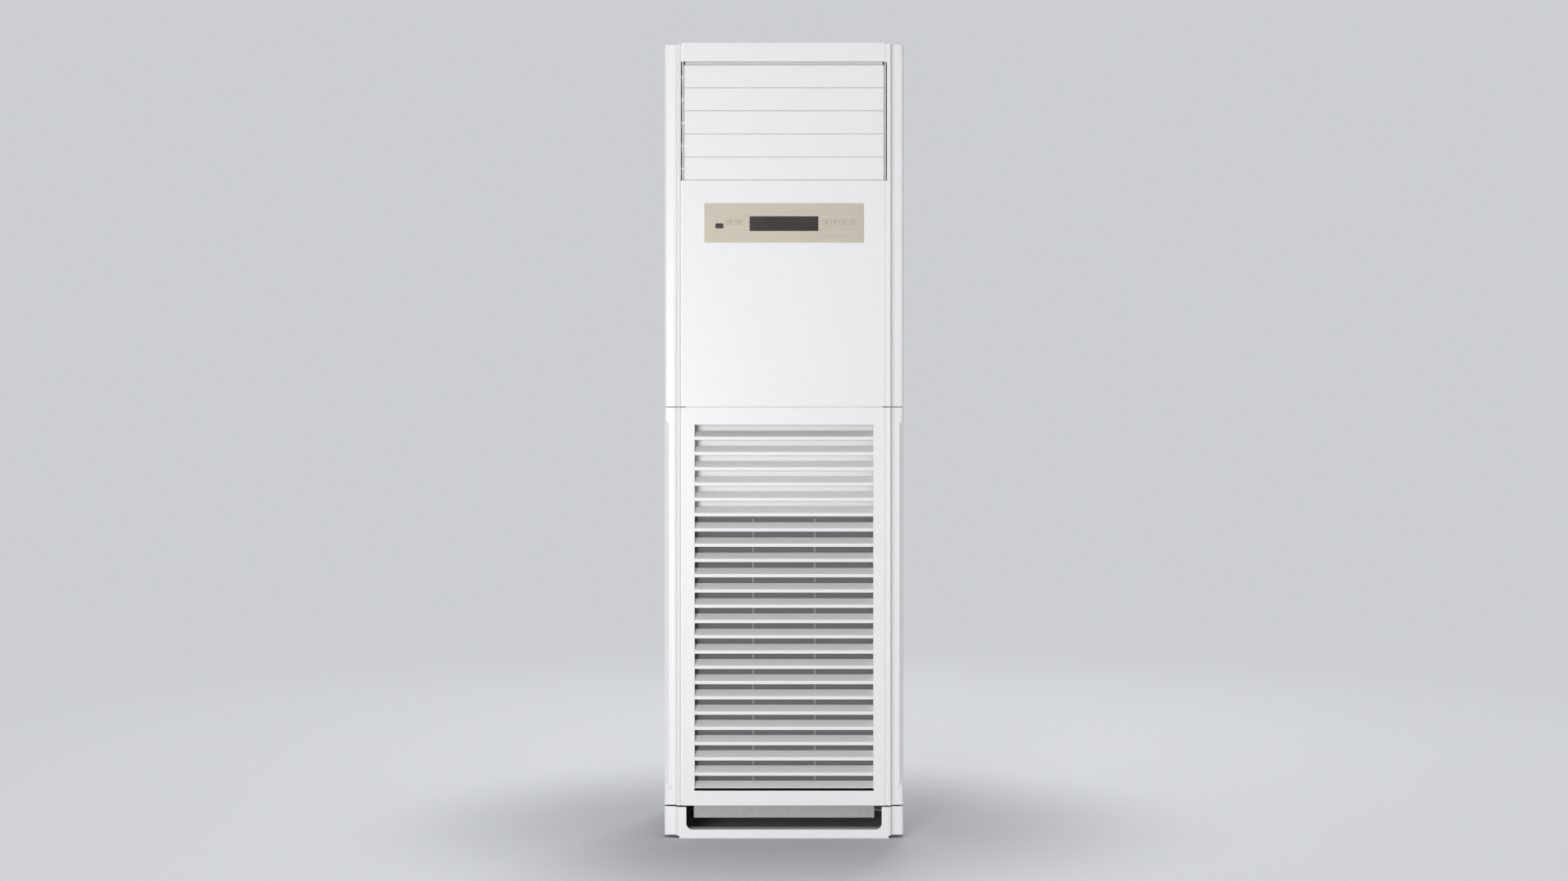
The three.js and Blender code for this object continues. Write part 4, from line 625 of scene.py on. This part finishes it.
def intake_grille():
    """Front wall with its slats, and behind them the filter's rails and the hinge lugs."""
    shell = cut(
        front_shell("intake_grille_front", GRILLE_BOTTOM, GRILLE_TOP),
        block("blank", -SLOT_HALF, SLOT_HALF, FACE_Y - PAST, FACE_Y + 4, SLOT_BOTTOM, SLOT_TOP),
        grip_rebate(1), grip_rebate(-1),
        *(prism("blank", "y", disc(side * LOCK_X, LOCK_Z, LOCK_RADIUS, 20), STRIP_Y - 5, STRIP_Y + 8)
          for side in (-1, 1)),
    )
    bodies = []
    for slat in range(SLOT_COUNT):
        bottom = SLOT_BOTTOM + slat * SLOT_PITCH - SLAT_FACE
        bodies.append(prism("blank", "x", slat_outline(bottom), -SLOT_HALF - 1, SLOT_HALF + 1))
    for side in (-1, 1):
        outer = side * RAIL_OUTER
        inner = side * (RAIL_OUTER - RAIL_WALL)
        lip = side * RAIL_LIP
        rail = [(outer, WEB_Y), (outer, RAIL_BACK), (lip, RAIL_BACK), (lip, RAIL_BACK - RAIL_WALL),
                (inner, RAIL_BACK - RAIL_WALL), (inner, WEB_Y)]
        bodies.append(prism("blank", "z", rail, RAIL_BOTTOM, GRILLE_TOP - 3))
        bodies.append(block("blank", *span(side, SLOT_HALF, SLOT_HALF + 2), WEB_Y, FACE_Y + SLAT_DEPTH,
                            SLOT_BOTTOM - 2, SLOT_TOP + SLAT_RISE))
        bodies.append(block("blank", *span(side, LUG_NEAR, LUG_FAR), WEB_Y, LUG_BACK, LUG_BOTTOM, LUG_TOP))
    bodies.append(block("blank", -RAIL_OUTER, RAIL_OUTER, WEB_Y, RAIL_BACK, RAIL_BOTTOM, RAIL_BOTTOM + RAIL_WALL))
    place(dress(gather(shell, *bodies), "white_shell", 0.35), "grille", "intake_grille")


def base_surround():
    """Ring round the foot with the toe opening, a bar across it and raised front corners."""
    ring_outline = [*outer_half(False, CASING_REAR_Y), *mirrored(outer_half(False, CASING_REAR_Y))]
    inside_rear = CASING_REAR_Y - SHELL_WALL
    hollow = [*inner_half(inside_rear), *mirrored(inner_half(inside_rear))]
    base = cut(
        prism("base", "z", ring_outline, 0, BASE_HEIGHT),
        prism("blank", "z", hollow, SHELL_WALL, BASE_HEIGHT + PAST),
        block("blank", -WELL_HALF, WELL_HALF, BAR_BACK, WELL_BACK, -PAST, SHELL_WALL + PAST),
        prism("blank", "y", rounded(TOE_WIDTH, TOE_HEIGHT, TOE_RADIUS, 0, TOE_Z), FACE_Y - PAST, BAR_BACK),
    )
    cross_bar = block("blank", -BAR_HALF, BAR_HALF, FACE_Y + 1, BAR_BACK, BAR_BOTTOM, BAR_TOP)
    base = combine(base, [cross_bar], "UNION")
    for side in (-1, 1):
        base = cut(base, block("blank", *span(side, BAR_HALF, HALF_WIDTH + PAST), FACE_Y - PAST, FOOT_BACK,
                               -PAST, FOOT_GAP))
    place(dress(base, "white_shell", 0.7, 3), "cabinet", "base_surround")


def lid():
    """Plate within the front wall, with a skirt round the sides and the rear."""
    inner = HALF_WIDTH - SHELL_WALL
    inner_rear = CASING_REAR_Y - SHELL_WALL
    underside = PILLAR_TOP - SHELL_WALL
    half = [(HALF_WIDTH, CASING_REAR_Y), (HALF_WIDTH, LID_FRONT), (inner - LID_PLAY, LID_FRONT),
            *inner_half(LID_FRONT, LID_PLAY)[1:]]
    plate = prism("lid", "z", [*half, *mirrored(half)], underside, PILLAR_TOP)
    skirt = [(HALF_WIDTH, LID_FRONT), (HALF_WIDTH, CASING_REAR_Y), (-HALF_WIDTH, CASING_REAR_Y),
             (-HALF_WIDTH, LID_FRONT), (-inner, LID_FRONT), (-inner, inner_rear), (inner, inner_rear),
             (inner, LID_FRONT)]
    lower = prism("blank", "z", skirt, PILLAR_TOP - LID_SKIRT, underside + 0.5)
    place(dress(combine(plate, [lower], "UNION"), "white_shell", 0.9, 3), "cabinet", "top_cover")


# ---------------------------------------------------------------------------
# Display
# ---------------------------------------------------------------------------

MARK_FRONT = FRONT_Y + 0.15
MARK_BACK = FRONT_Y + 0.4

# marks of the six keys: on and off, plus, up, down, a half ring over a bar, and three steps
MARKS = (
    [[*arc(0, 0, 3, 3, 120, 420, 20), *arc(0, 0, 2.1, 2.1, 420, 120, 20)], bar(0.9, 3, 0, 2.4)],
    [bar(6, 0.9), bar(0.9, 4.5)],
    [[(-3, -1.8), (3, -1.8), (0, 2.4)]],
    [[(-3, 1.8), (0, -2.4), (3, 1.8)]],
    [[*arc(0, 0, 3, 3, 0, 180, 14), *arc(0, 0, 2.1, 2.1, 180, 0, 14)], bar(6, 0.9, 0, -1.6)],
    [bar(0.9, 2, -2.4, -1), bar(0.9, 3.2, 0, -0.4), bar(0.9, 4.4, 2.4, 0.2)],
)


def hole(width, height, radius, x, z):
    """Cutter for an opening in the display plate, with play round what fills it."""
    return prism("blank", "y", rounded(width + 2 * PLAY, height + 2 * PLAY, radius, x, z), FRONT_Y - PAST, FACE_Y + 3)


def display_plate():
    """Plate proud of the face on a shallow tray, with its openings."""
    middle = DISPLAY_BOTTOM + DISPLAY_HEIGHT / 2
    margin = TRAY_MARGIN + TRAY_PLAY
    half = DISPLAY_WIDTH / 2 - margin
    low = DISPLAY_BOTTOM + margin
    high = DISPLAY_BOTTOM + DISPLAY_HEIGHT - margin
    plate = prism("display_front", "y", rounded(DISPLAY_WIDTH, DISPLAY_HEIGHT, DISPLAY_RADIUS, 0, middle),
                  FRONT_Y, FACE_Y - PLAY)
    tray = cut(block("blank", -half, half, FACE_Y - 0.6, FACE_Y + TRAY_DEPTH, low, high),
               block("blank", -half + TRAY_WALL, half - TRAY_WALL, FACE_Y + 1.2, FACE_Y + TRAY_DEPTH + PAST,
                     low + TRAY_WALL, high - TRAY_WALL))
    holes = [hole(WINDOW_WIDTH, WINDOW_HEIGHT, WINDOW_RADIUS, 0, WINDOW_Z),
             hole(LENS_WIDTH, LENS_HEIGHT, LENS_RADIUS + HOLE_EASE, LENS_X, LENS_Z),
             *(hole(BUTTON_WIDTH, BUTTON_HEIGHT, BUTTON_RADIUS + HOLE_EASE, x, BUTTON_Z) for x in BUTTON_XS)]
    plate = cut(combine(plate, [tray], "UNION"), *holes)
    place(dress(plate, "champagne", 0.35, 3), "cabinet", "display_plate")


def window_and_lens():
    """Smoked window on a flange, and the receiver's lens."""
    front = FRONT_Y + PLAY
    back = BOARD_SIDE_Y + 1
    reach = WINDOW_WIDTH / 2 + FLANGE
    rise = WINDOW_HEIGHT / 2 + FLANGE
    window = prism("window", "y", rounded(WINDOW_WIDTH, WINDOW_HEIGHT, WINDOW_RADIUS, 0, WINDOW_Z), front, back)
    flange = block("blank", -reach, reach, BOARD_SIDE_Y, BOARD_SIDE_Y + 1.2, WINDOW_Z - rise, WINDOW_Z + rise)
    place(dress(gather(window, flange), "smoke", 0.25), "cabinet", "display_window")
    lens = prism("receiver", "y", rounded(LENS_WIDTH, LENS_HEIGHT, LENS_RADIUS, LENS_X, LENS_Z), front, back)
    place(dress(lens, "smoke", 0.3), "cabinet", "receiver_lens")


def button(number, x):
    """Key cap with its flange and stem, and the mark on it."""
    across, up = BUTTON_FLANGE_HALF
    flange_back = BOARD_SIDE_Y + BUTTON_FLANGE
    body = f"button_{number}_body"
    cap = prism(f"cap_{number}", "y", rounded(BUTTON_WIDTH, BUTTON_HEIGHT, BUTTON_RADIUS, x, BUTTON_Z),
                FRONT_Y + 0.2, flange_back)
    flange = block("blank", x - across, x + across, BOARD_SIDE_Y, flange_back, BUTTON_Z - up, BUTTON_Z + up)
    stem = prism("blank", "y", disc(x, BUTTON_Z, STEM_RADIUS, 20), BOARD_SIDE_Y + 0.5, STEM_BACK)
    place(dress(gather(cap, flange, stem), "champagne", 0.3, 3), body, f"button_{number}")
    mark = gather(*(prism(f"mark_{number}", "y", [(x + u, BUTTON_Z + v) for u, v in outline], MARK_FRONT, MARK_BACK)
                    for outline in MARKS[number - 1]))
    place(dress(mark, "print", 0), body)


# ---------------------------------------------------------------------------
# Rear, filter, coil and pipes
# ---------------------------------------------------------------------------


def screw(x, y, z):
    """Pan head with a cross recess, facing the rear."""
    head = turned("screw", (x, z), [(0, y), (4, y), (3.7, y + 1.1), (2.4, y + 1.7), (0, y + 1.8)], 24)
    return cut(head, *(block("blank", x - across, x + across, y + 0.9, y + 3, z - up, z + up)
                       for across, up in ((2.2, 0.5), (0.5, 2.2))))


def rear_panels():
    """Two sheets with a shallow swage each, the lower one with its holes, and their screws."""
    inner = CASING_REAR_Y - REAR_SKIN
    for name, (low, high, swage_low, swage_high) in REAR_PANELS.items():
        panel = block(f"rear_{name}", -PANEL_HALF, PANEL_HALF, inner, CASING_REAR_Y, low, high)
        if name == "lower":
            panel = cut(panel, *(prism("blank", "y", outline, CASING_REAR_Y - 6, CASING_REAR_Y + 4) for outline in
                                 (disc(*PIPE_HOLE, PIPE_HOLE_RADIUS, 48), disc(*GLAND, GLAND_HOLE_RADIUS))))
        outline = rounded(SWAGE_WIDTH, swage_high - swage_low, SWAGE_RADIUS, 0, (swage_low + swage_high) / 2, 10)
        swage = prism("blank", "y", outline, CASING_REAR_Y - 0.5, CASING_REAR_Y + 1.2)
        place(dress(gather(panel, swage), "white_steel", 0.9, 3), "cabinet", f"rear_panel_{name}")
    screws = [screw(side * SCREW_X, CASING_REAR_Y - 0.1, height) for side in (-1, 1) for height in SCREW_HEIGHTS]
    place(dress(gather(*screws), "steel", 0.15), "cabinet")


def pipe_grommet():
    """Rubber ring that grips the edge of the pipe hole."""
    lip = PIPE_HOLE_RADIUS + GROMMET_LIP
    neck = PIPE_HOLE_RADIUS - PLAY
    bore = PIPE_HOLE_RADIUS - GROMMET_WALL
    inner = CASING_REAR_Y - REAR_SKIN
    outer = CASING_REAR_Y
    ring = turned("grommet", PIPE_HOLE, [
        (bore, inner - GROMMET_FLANGE), (lip, inner - GROMMET_FLANGE), (lip, inner - PLAY), (neck, inner - PLAY),
        (neck, outer + PLAY), (lip, outer + PLAY), (lip, outer + GROMMET_FLANGE), (bore, outer + GROMMET_FLANGE)], 64)
    place(dress(ring, "rubber", 0.8, 3), "cabinet", "pipe_grommet")


def air_filter():
    """Plastic frame with upright and level bars round a dark net."""
    rim = FILTER_HALF - FILTER_RIM
    frame_piece = cut(
        block("filter_frame", -FILTER_HALF, FILTER_HALF, FILTER_FRONT, FILTER_BACK, FILTER_BOTTOM, FILTER_TOP),
        block("blank", -rim, rim, FILTER_FRONT - PAST, FILTER_BACK + PAST, FILTER_BOTTOM + FILTER_RIM,
              FILTER_TOP - FILTER_RIM))
    bars = [block("blank", side * FILTER_BAR_X - FILTER_BAR_HALF, side * FILTER_BAR_X + FILTER_BAR_HALF,
                  FILTER_FRONT, FILTER_MIDDLE, FILTER_BOTTOM + 2, FILTER_TOP - 2) for side in (-1, 1)]
    for level in (1, 2, 3):
        z = FILTER_BOTTOM + level * (FILTER_TOP - FILTER_BOTTOM) / 4
        bars.append(block("blank", -FILTER_HALF + 2, FILTER_HALF - 2, FILTER_MIDDLE, FILTER_BACK,
                          z - FILTER_BAR_HALF, z + FILTER_BAR_HALF))
    place(dress(gather(frame_piece, *bars), "filter_frame", 0.5), "filter", "air_filter")
    net = block("filter_net", -FILTER_HALF + 6, FILTER_HALF - 6, FILTER_MIDDLE - NET_HALF, FILTER_MIDDLE + NET_HALF,
                FILTER_BOTTOM + 6, FILTER_TOP - 6)
    place(dress(net, "filter_mesh", 0), "filter")


def coil():
    """Pack of fins with end plates and tabs, and copper return bends on the left."""
    deep = COIL_DEEP + END_PLATE
    long = COIL_LONG + END_PLATE
    fins = [block("coil_fins", x - FIN_HALF, x + FIN_HALF, -COIL_DEEP, COIL_DEEP, -COIL_LONG, COIL_LONG)
            for x in range(-COIL_HALF + FIN_PITCH, COIL_HALF - 1, FIN_PITCH)]
    core = block("blank", -COIL_HALF + 1, COIL_HALF - 1, -COIL_DEEP + 3, COIL_DEEP - 3, -COIL_LONG + 2, COIL_LONG - 2)
    plates = [block("coil_plates", *span(side, COIL_HALF - END_PLATE, COIL_HALF), -deep, deep, -long, long)
              for side in (-1, 1)]
    tabs = [block("blank", *span(side, COIL_HALF - 1, TAB_REACH), COIL_DEEP - 2, deep, level, level + TAB_HEIGHT)
            for side in (-1, 1) for level in TAB_LEVELS]
    bends = []
    for row in range(BEND_ROWS):
        z = -COIL_LONG + BEND_START + row * BEND_PITCH
        angles = [math.radians(angle) for angle in range(0, 181, 15)]
        line = [(-COIL_HALF - 2 - BEND_RADIUS * math.sin(a), -BEND_RADIUS * math.cos(a), z) for a in angles]
        ends = [(-COIL_HALF + 1, -BEND_RADIUS, z), (-COIL_HALF + 1, BEND_RADIUS, z)]
        bends.append(tube("coil_bends", [ends[0], *line, ends[1]], BEND_TUBE, 16, 1))
    pack = dress(gather(*fins, core), "aluminium", 0)
    plating = dress(gather(*plates, *tabs), "zinc", 0.4)
    piping = dress(gather(*bends), "copper", 0)
    lean = Matrix.Translation((0, COIL_CENTRE[0] * MM, COIL_CENTRE[1] * MM)) @ Matrix.Rotation(-COIL_LEAN, 4, "X")
    for piece in (pack, plating, piping):
        piece.data.transform(lean)
    place(pack, "cabinet", "evaporator_coil")
    place(plating, "cabinet")
    place(piping, "cabinet")


def coolant_pipe(name, radius, along, run_y, elbow_z, end_x, end_z):
    """Copper pipe from the coil's end plate down the right side to a flare nut at the pipe hole."""
    y = COIL_CENTRE[0] + along * math.sin(COIL_LEAN)
    z = COIL_CENTRE[1] + along * math.cos(COIL_LEAN)
    x = PIPE_X
    end_y = PIPE_END_Y
    pipe = tube(name, [(COIL_HALF + PLAY, y, z), (COIL_HALF + 10, y, z), (x - 2, run_y, z - 12), (x, run_y, z - 34),
                       (x, run_y, 900), (x, run_y, 500), (x, run_y, elbow_z + 70), (x - 4, run_y + 30, elbow_z + 12),
                       (x - 38, run_y + 76, elbow_z), (end_x + 3, end_y - 52, end_z), (end_x, end_y - 28, end_z),
                       (end_x, end_y, end_z)], radius)
    nut = prism("blank", "y", disc(end_x, end_z, radius + 4.5, 6), end_y - 22, end_y + 1)
    place(dress(gather(pipe, nut), "copper", 0.3), "cabinet", name)


def pipes():
    """The two coolant pipes and the drain hose, which all leave by the pipe hole."""
    hole_x, hole_z = PIPE_HOLE
    x = HOSE_X
    y = HOSE_Y
    coolant_pipe("gas_pipe", 8, 0, PIPE_Y, 220, hole_x + 18, hole_z + 14)
    coolant_pipe("liquid_pipe", 4.8, -40, PIPE_Y - 24, 150, hole_x - 16, hole_z + 8)
    hose = tube("drain_hose", [(x, y, 949.7), (x, y, 889.7), (x, y, 600), (x, y, 300), (x, y + 4, 170),
                               (x - 2, y + 40, 118), (x - 15, 30, 108), (x - 45, 110, 118),
                               (hole_x + 12, 160, hole_z - 30), (hole_x, 188, hole_z - 21),
                               (hole_x, 207, hole_z - 21)], HOSE_RADIUS)
    place(dress(hose, "rubber", 0), "cabinet", "drain_hose")


# ---------------------------------------------------------------------------
# Pieces kept from the model
# ---------------------------------------------------------------------------

CAD_FINISHES = {
    "white_steel": ["side_panel_left", "side_panel_right", "electrical_cover", "grille_lock_screw_left",
                    "grille_lock_screw_right"],
    "white_shell": [f"louvre_{row}" for row in range(1, 6)],
    "white_inside": ["outlet_frame", "louvre_link", "vane_link", *(f"vane_{column}" for column in range(1, 8))],
    "zinc": ["base_pan", "wall_bracket", "fan_scroll", "scroll_front", "fan_motor", "motor_bracket",
             "partition_plate", "electrical_box"],
    "dark_plastic": ["cable_gland", "louvre_motor", "vane_motor", "blower_wheel", "terminal_block"],
    "foam": ["air_guide", "drain_pan"],
    "steel": ["motor_shaft", "wheel_nut"],
    "circuit": ["display_board", "main_board"],
}
EDGE_WIDTH = 0.35
EDGE_WIDTHS = {"foam": 2.0, "white_shell": 0.5, "white_inside": 0.5}
WELD_DISTANCE = 1e-5
FLAT_ANGLE = math.radians(0.5)


def keep(node, slot):
    """Shows a CAD node with clean faces, round edges and its finish."""
    piece = frame["nodes"][node]
    weld = piece.modifiers.new("weld", "WELD")
    weld.merge_threshold = WELD_DISTANCE
    flat = piece.modifiers.new("flat", "DECIMATE")
    flat.decimate_type = "DISSOLVE"
    flat.angle_limit = FLAT_ANGLE
    dress(piece, slot, EDGE_WIDTHS.get(slot, EDGE_WIDTH))


for finish_slot, kept_nodes in CAD_FINISHES.items():
    for kept_node in kept_nodes:
        keep(kept_node, finish_slot)

upper_front()
outlet_stop()
intake_grille()
base_surround()
lid()
display_plate()
window_and_lens()
for button_number, button_x in enumerate(BUTTON_XS, 1):
    button(button_number, button_x)
rear_panels()
pipe_grommet()
air_filter()
coil()
pipes()

# ---------------------------------------------------------------------------
# Stage, light and camera, in metres unless a name says otherwise
# ---------------------------------------------------------------------------

PALE = (0.60, 0.615, 0.64, 1.0)
FLOOR_RADIUS_MM = 30000
FLOOR_DROP_MM = 0.5
FLOOR_SIDES = 96
# painted light: the floor glows for camera and glossy rays, rising from 0.3 m to 1.1 m away from the cabinet, so the
# floor round its foot stays darker, a painted shade round the base
PAINTED_FLOOR_GLOW = (0.95, 0.97, 1.0, 1.0)
PAINTED_GLOW_STRENGTH = 0.24
PAINTED_GLOW_REACH = (0.3, 1.1)
FADE_REACH = (0.8, 5.0)
SKY_STRENGTH = 0.39
CAMERA_PLACE = (0, -5.209, 0.912)
LENS_MM = 50.1
SENSOR_MM = 36
VIEW_END = 60

# name, place, point it faces, side of the square and watts
LAMPS = (
    ("key", (-1.7, -5.9, 0.8), (0, 0, 0.9), 1.6, 182),
    ("top", (-0.3, -1.0, 5.2), (0, 0, 0.95), 2.0, 14),
    ("rear", (0.8, 5.0, 5.0), (0, 0, 0.95), 2.2, 130),
)


def seen_directly(tree):
    """1 for rays from the camera or off a glossy surface, otherwise 0."""
    ray = tree.nodes.new("ShaderNodeLightPath")
    seen = tree.nodes.new("ShaderNodeMath")
    seen.operation = "MAXIMUM"
    tree.links.new(ray.outputs["Is Camera Ray"], seen.inputs[0])
    tree.links.new(ray.outputs["Is Glossy Ray"], seen.inputs[1])
    return seen.outputs[0]


def climb(tree, distance, reach, top=1.0):
    """Climbs smoothly from 0 to a top value between two distances."""
    ramp = tree.nodes.new("ShaderNodeMapRange")
    ramp.interpolation_type = "SMOOTHSTEP"
    ramp.inputs["From Min"].default_value = reach[0]
    ramp.inputs["From Max"].default_value = reach[1]
    ramp.inputs["To Max"].default_value = top
    tree.links.new(distance, ramp.inputs["Value"])
    return ramp.outputs["Result"]


def product(tree, first, second):
    """Two values multiplied."""
    times = tree.nodes.new("ShaderNodeMath")
    times.operation = "MULTIPLY"
    tree.links.new(first, times.inputs[0])
    tree.links.new(second, times.inputs[1])
    return times.outputs[0]


def floor():
    """Round pale floor that fades into the pale world away from the cabinet. From 0.3 m out it also glows, a painted
    light on the floor, so the floor round the cabinet's foot stays darker as painted shade.
    """
    rim = [(u, v, -FLOOR_DROP_MM) for u, v in disc(0, 0, FLOOR_RADIUS_MM, FLOOR_SIDES)]
    plate = mesh_object("floor", rim, [tuple(range(FLOOR_SIDES))])
    pale = surface("pale_floor_painted_glow", (0.80, 0.81, 0.83), 0.9, grain=3, bump=0.0, spread=0.0)
    tree = pale.node_tree
    nodes = tree.nodes
    links = tree.links
    shader = nodes["Principled BSDF"]
    seen = seen_directly(tree)
    spot = nodes.new("ShaderNodeTexCoord")
    distance = nodes.new("ShaderNodeVectorMath")
    distance.operation = "LENGTH"
    far = nodes.new("ShaderNodeEmission")
    far.inputs["Color"].default_value = PALE
    blend = nodes.new("ShaderNodeMixShader")
    links.new(spot.outputs["Object"], distance.inputs[0])
    away = climb(tree, distance.outputs["Value"], FADE_REACH)
    # painted glow on the floor, none near the cabinet, so a painted darker patch lies round its foot
    painted_glow = climb(tree, distance.outputs["Value"], PAINTED_GLOW_REACH, PAINTED_GLOW_STRENGTH)
    shader.inputs["Emission Color"].default_value = PAINTED_FLOOR_GLOW
    links.new(product(tree, painted_glow, seen), shader.inputs["Emission Strength"])
    links.new(product(tree, away, seen), blend.inputs["Fac"])
    links.new(shader.outputs["BSDF"], blend.inputs[1])
    links.new(far.outputs["Emission"], blend.inputs[2])
    links.new(blend.outputs["Shader"], nodes["Material Output"].inputs["Surface"])
    plate.data.materials.append(pale)


def sky():
    """Even white light, seen as the pale tone of the floor."""
    world = bpy.data.worlds.new("sky")
    world.use_nodes = True
    tree = world.node_tree
    light = tree.nodes["Background"]
    light.inputs["Color"].default_value = (1, 1, 1, 1)
    light.inputs["Strength"].default_value = SKY_STRENGTH
    pale = tree.nodes.new("ShaderNodeBackground")
    pale.inputs["Color"].default_value = PALE
    blend = tree.nodes.new("ShaderNodeMixShader")
    tree.links.new(seen_directly(tree), blend.inputs["Fac"])
    tree.links.new(light.outputs["Background"], blend.inputs[1])
    tree.links.new(pale.outputs["Background"], blend.inputs[2])
    tree.links.new(blend.outputs["Shader"], tree.nodes["World Output"].inputs["Surface"])
    bpy.context.scene.world = world


def lamp(name, position, aim, side, watts):
    """A soft square lamp that faces a point."""
    data = bpy.data.lights.new(name, "AREA")
    data.shape = "SQUARE"
    data.size = side
    data.energy = watts
    made = bpy.data.objects.new(name, data)
    made.location = position
    made.rotation_euler = (Vector(aim) - Vector(position)).to_track_quat("-Z", "Y").to_euler()
    bpy.context.scene.collection.objects.link(made)


def camera():
    """Level camera in front of the cabinet, at half its height."""
    data = bpy.data.cameras.new("camera")
    data.lens = LENS_MM
    data.sensor_width = SENSOR_MM
    data.clip_end = VIEW_END
    made = bpy.data.objects.new("camera", data)
    made.location = CAMERA_PLACE
    made.rotation_euler = (math.radians(90), 0, 0)
    bpy.context.scene.collection.objects.link(made)
    bpy.context.scene.camera = made


floor()
for lamp_values in LAMPS:
    lamp(*lamp_values)
camera()
sky()
bpy.context.scene.view_settings.view_transform = "Standard"
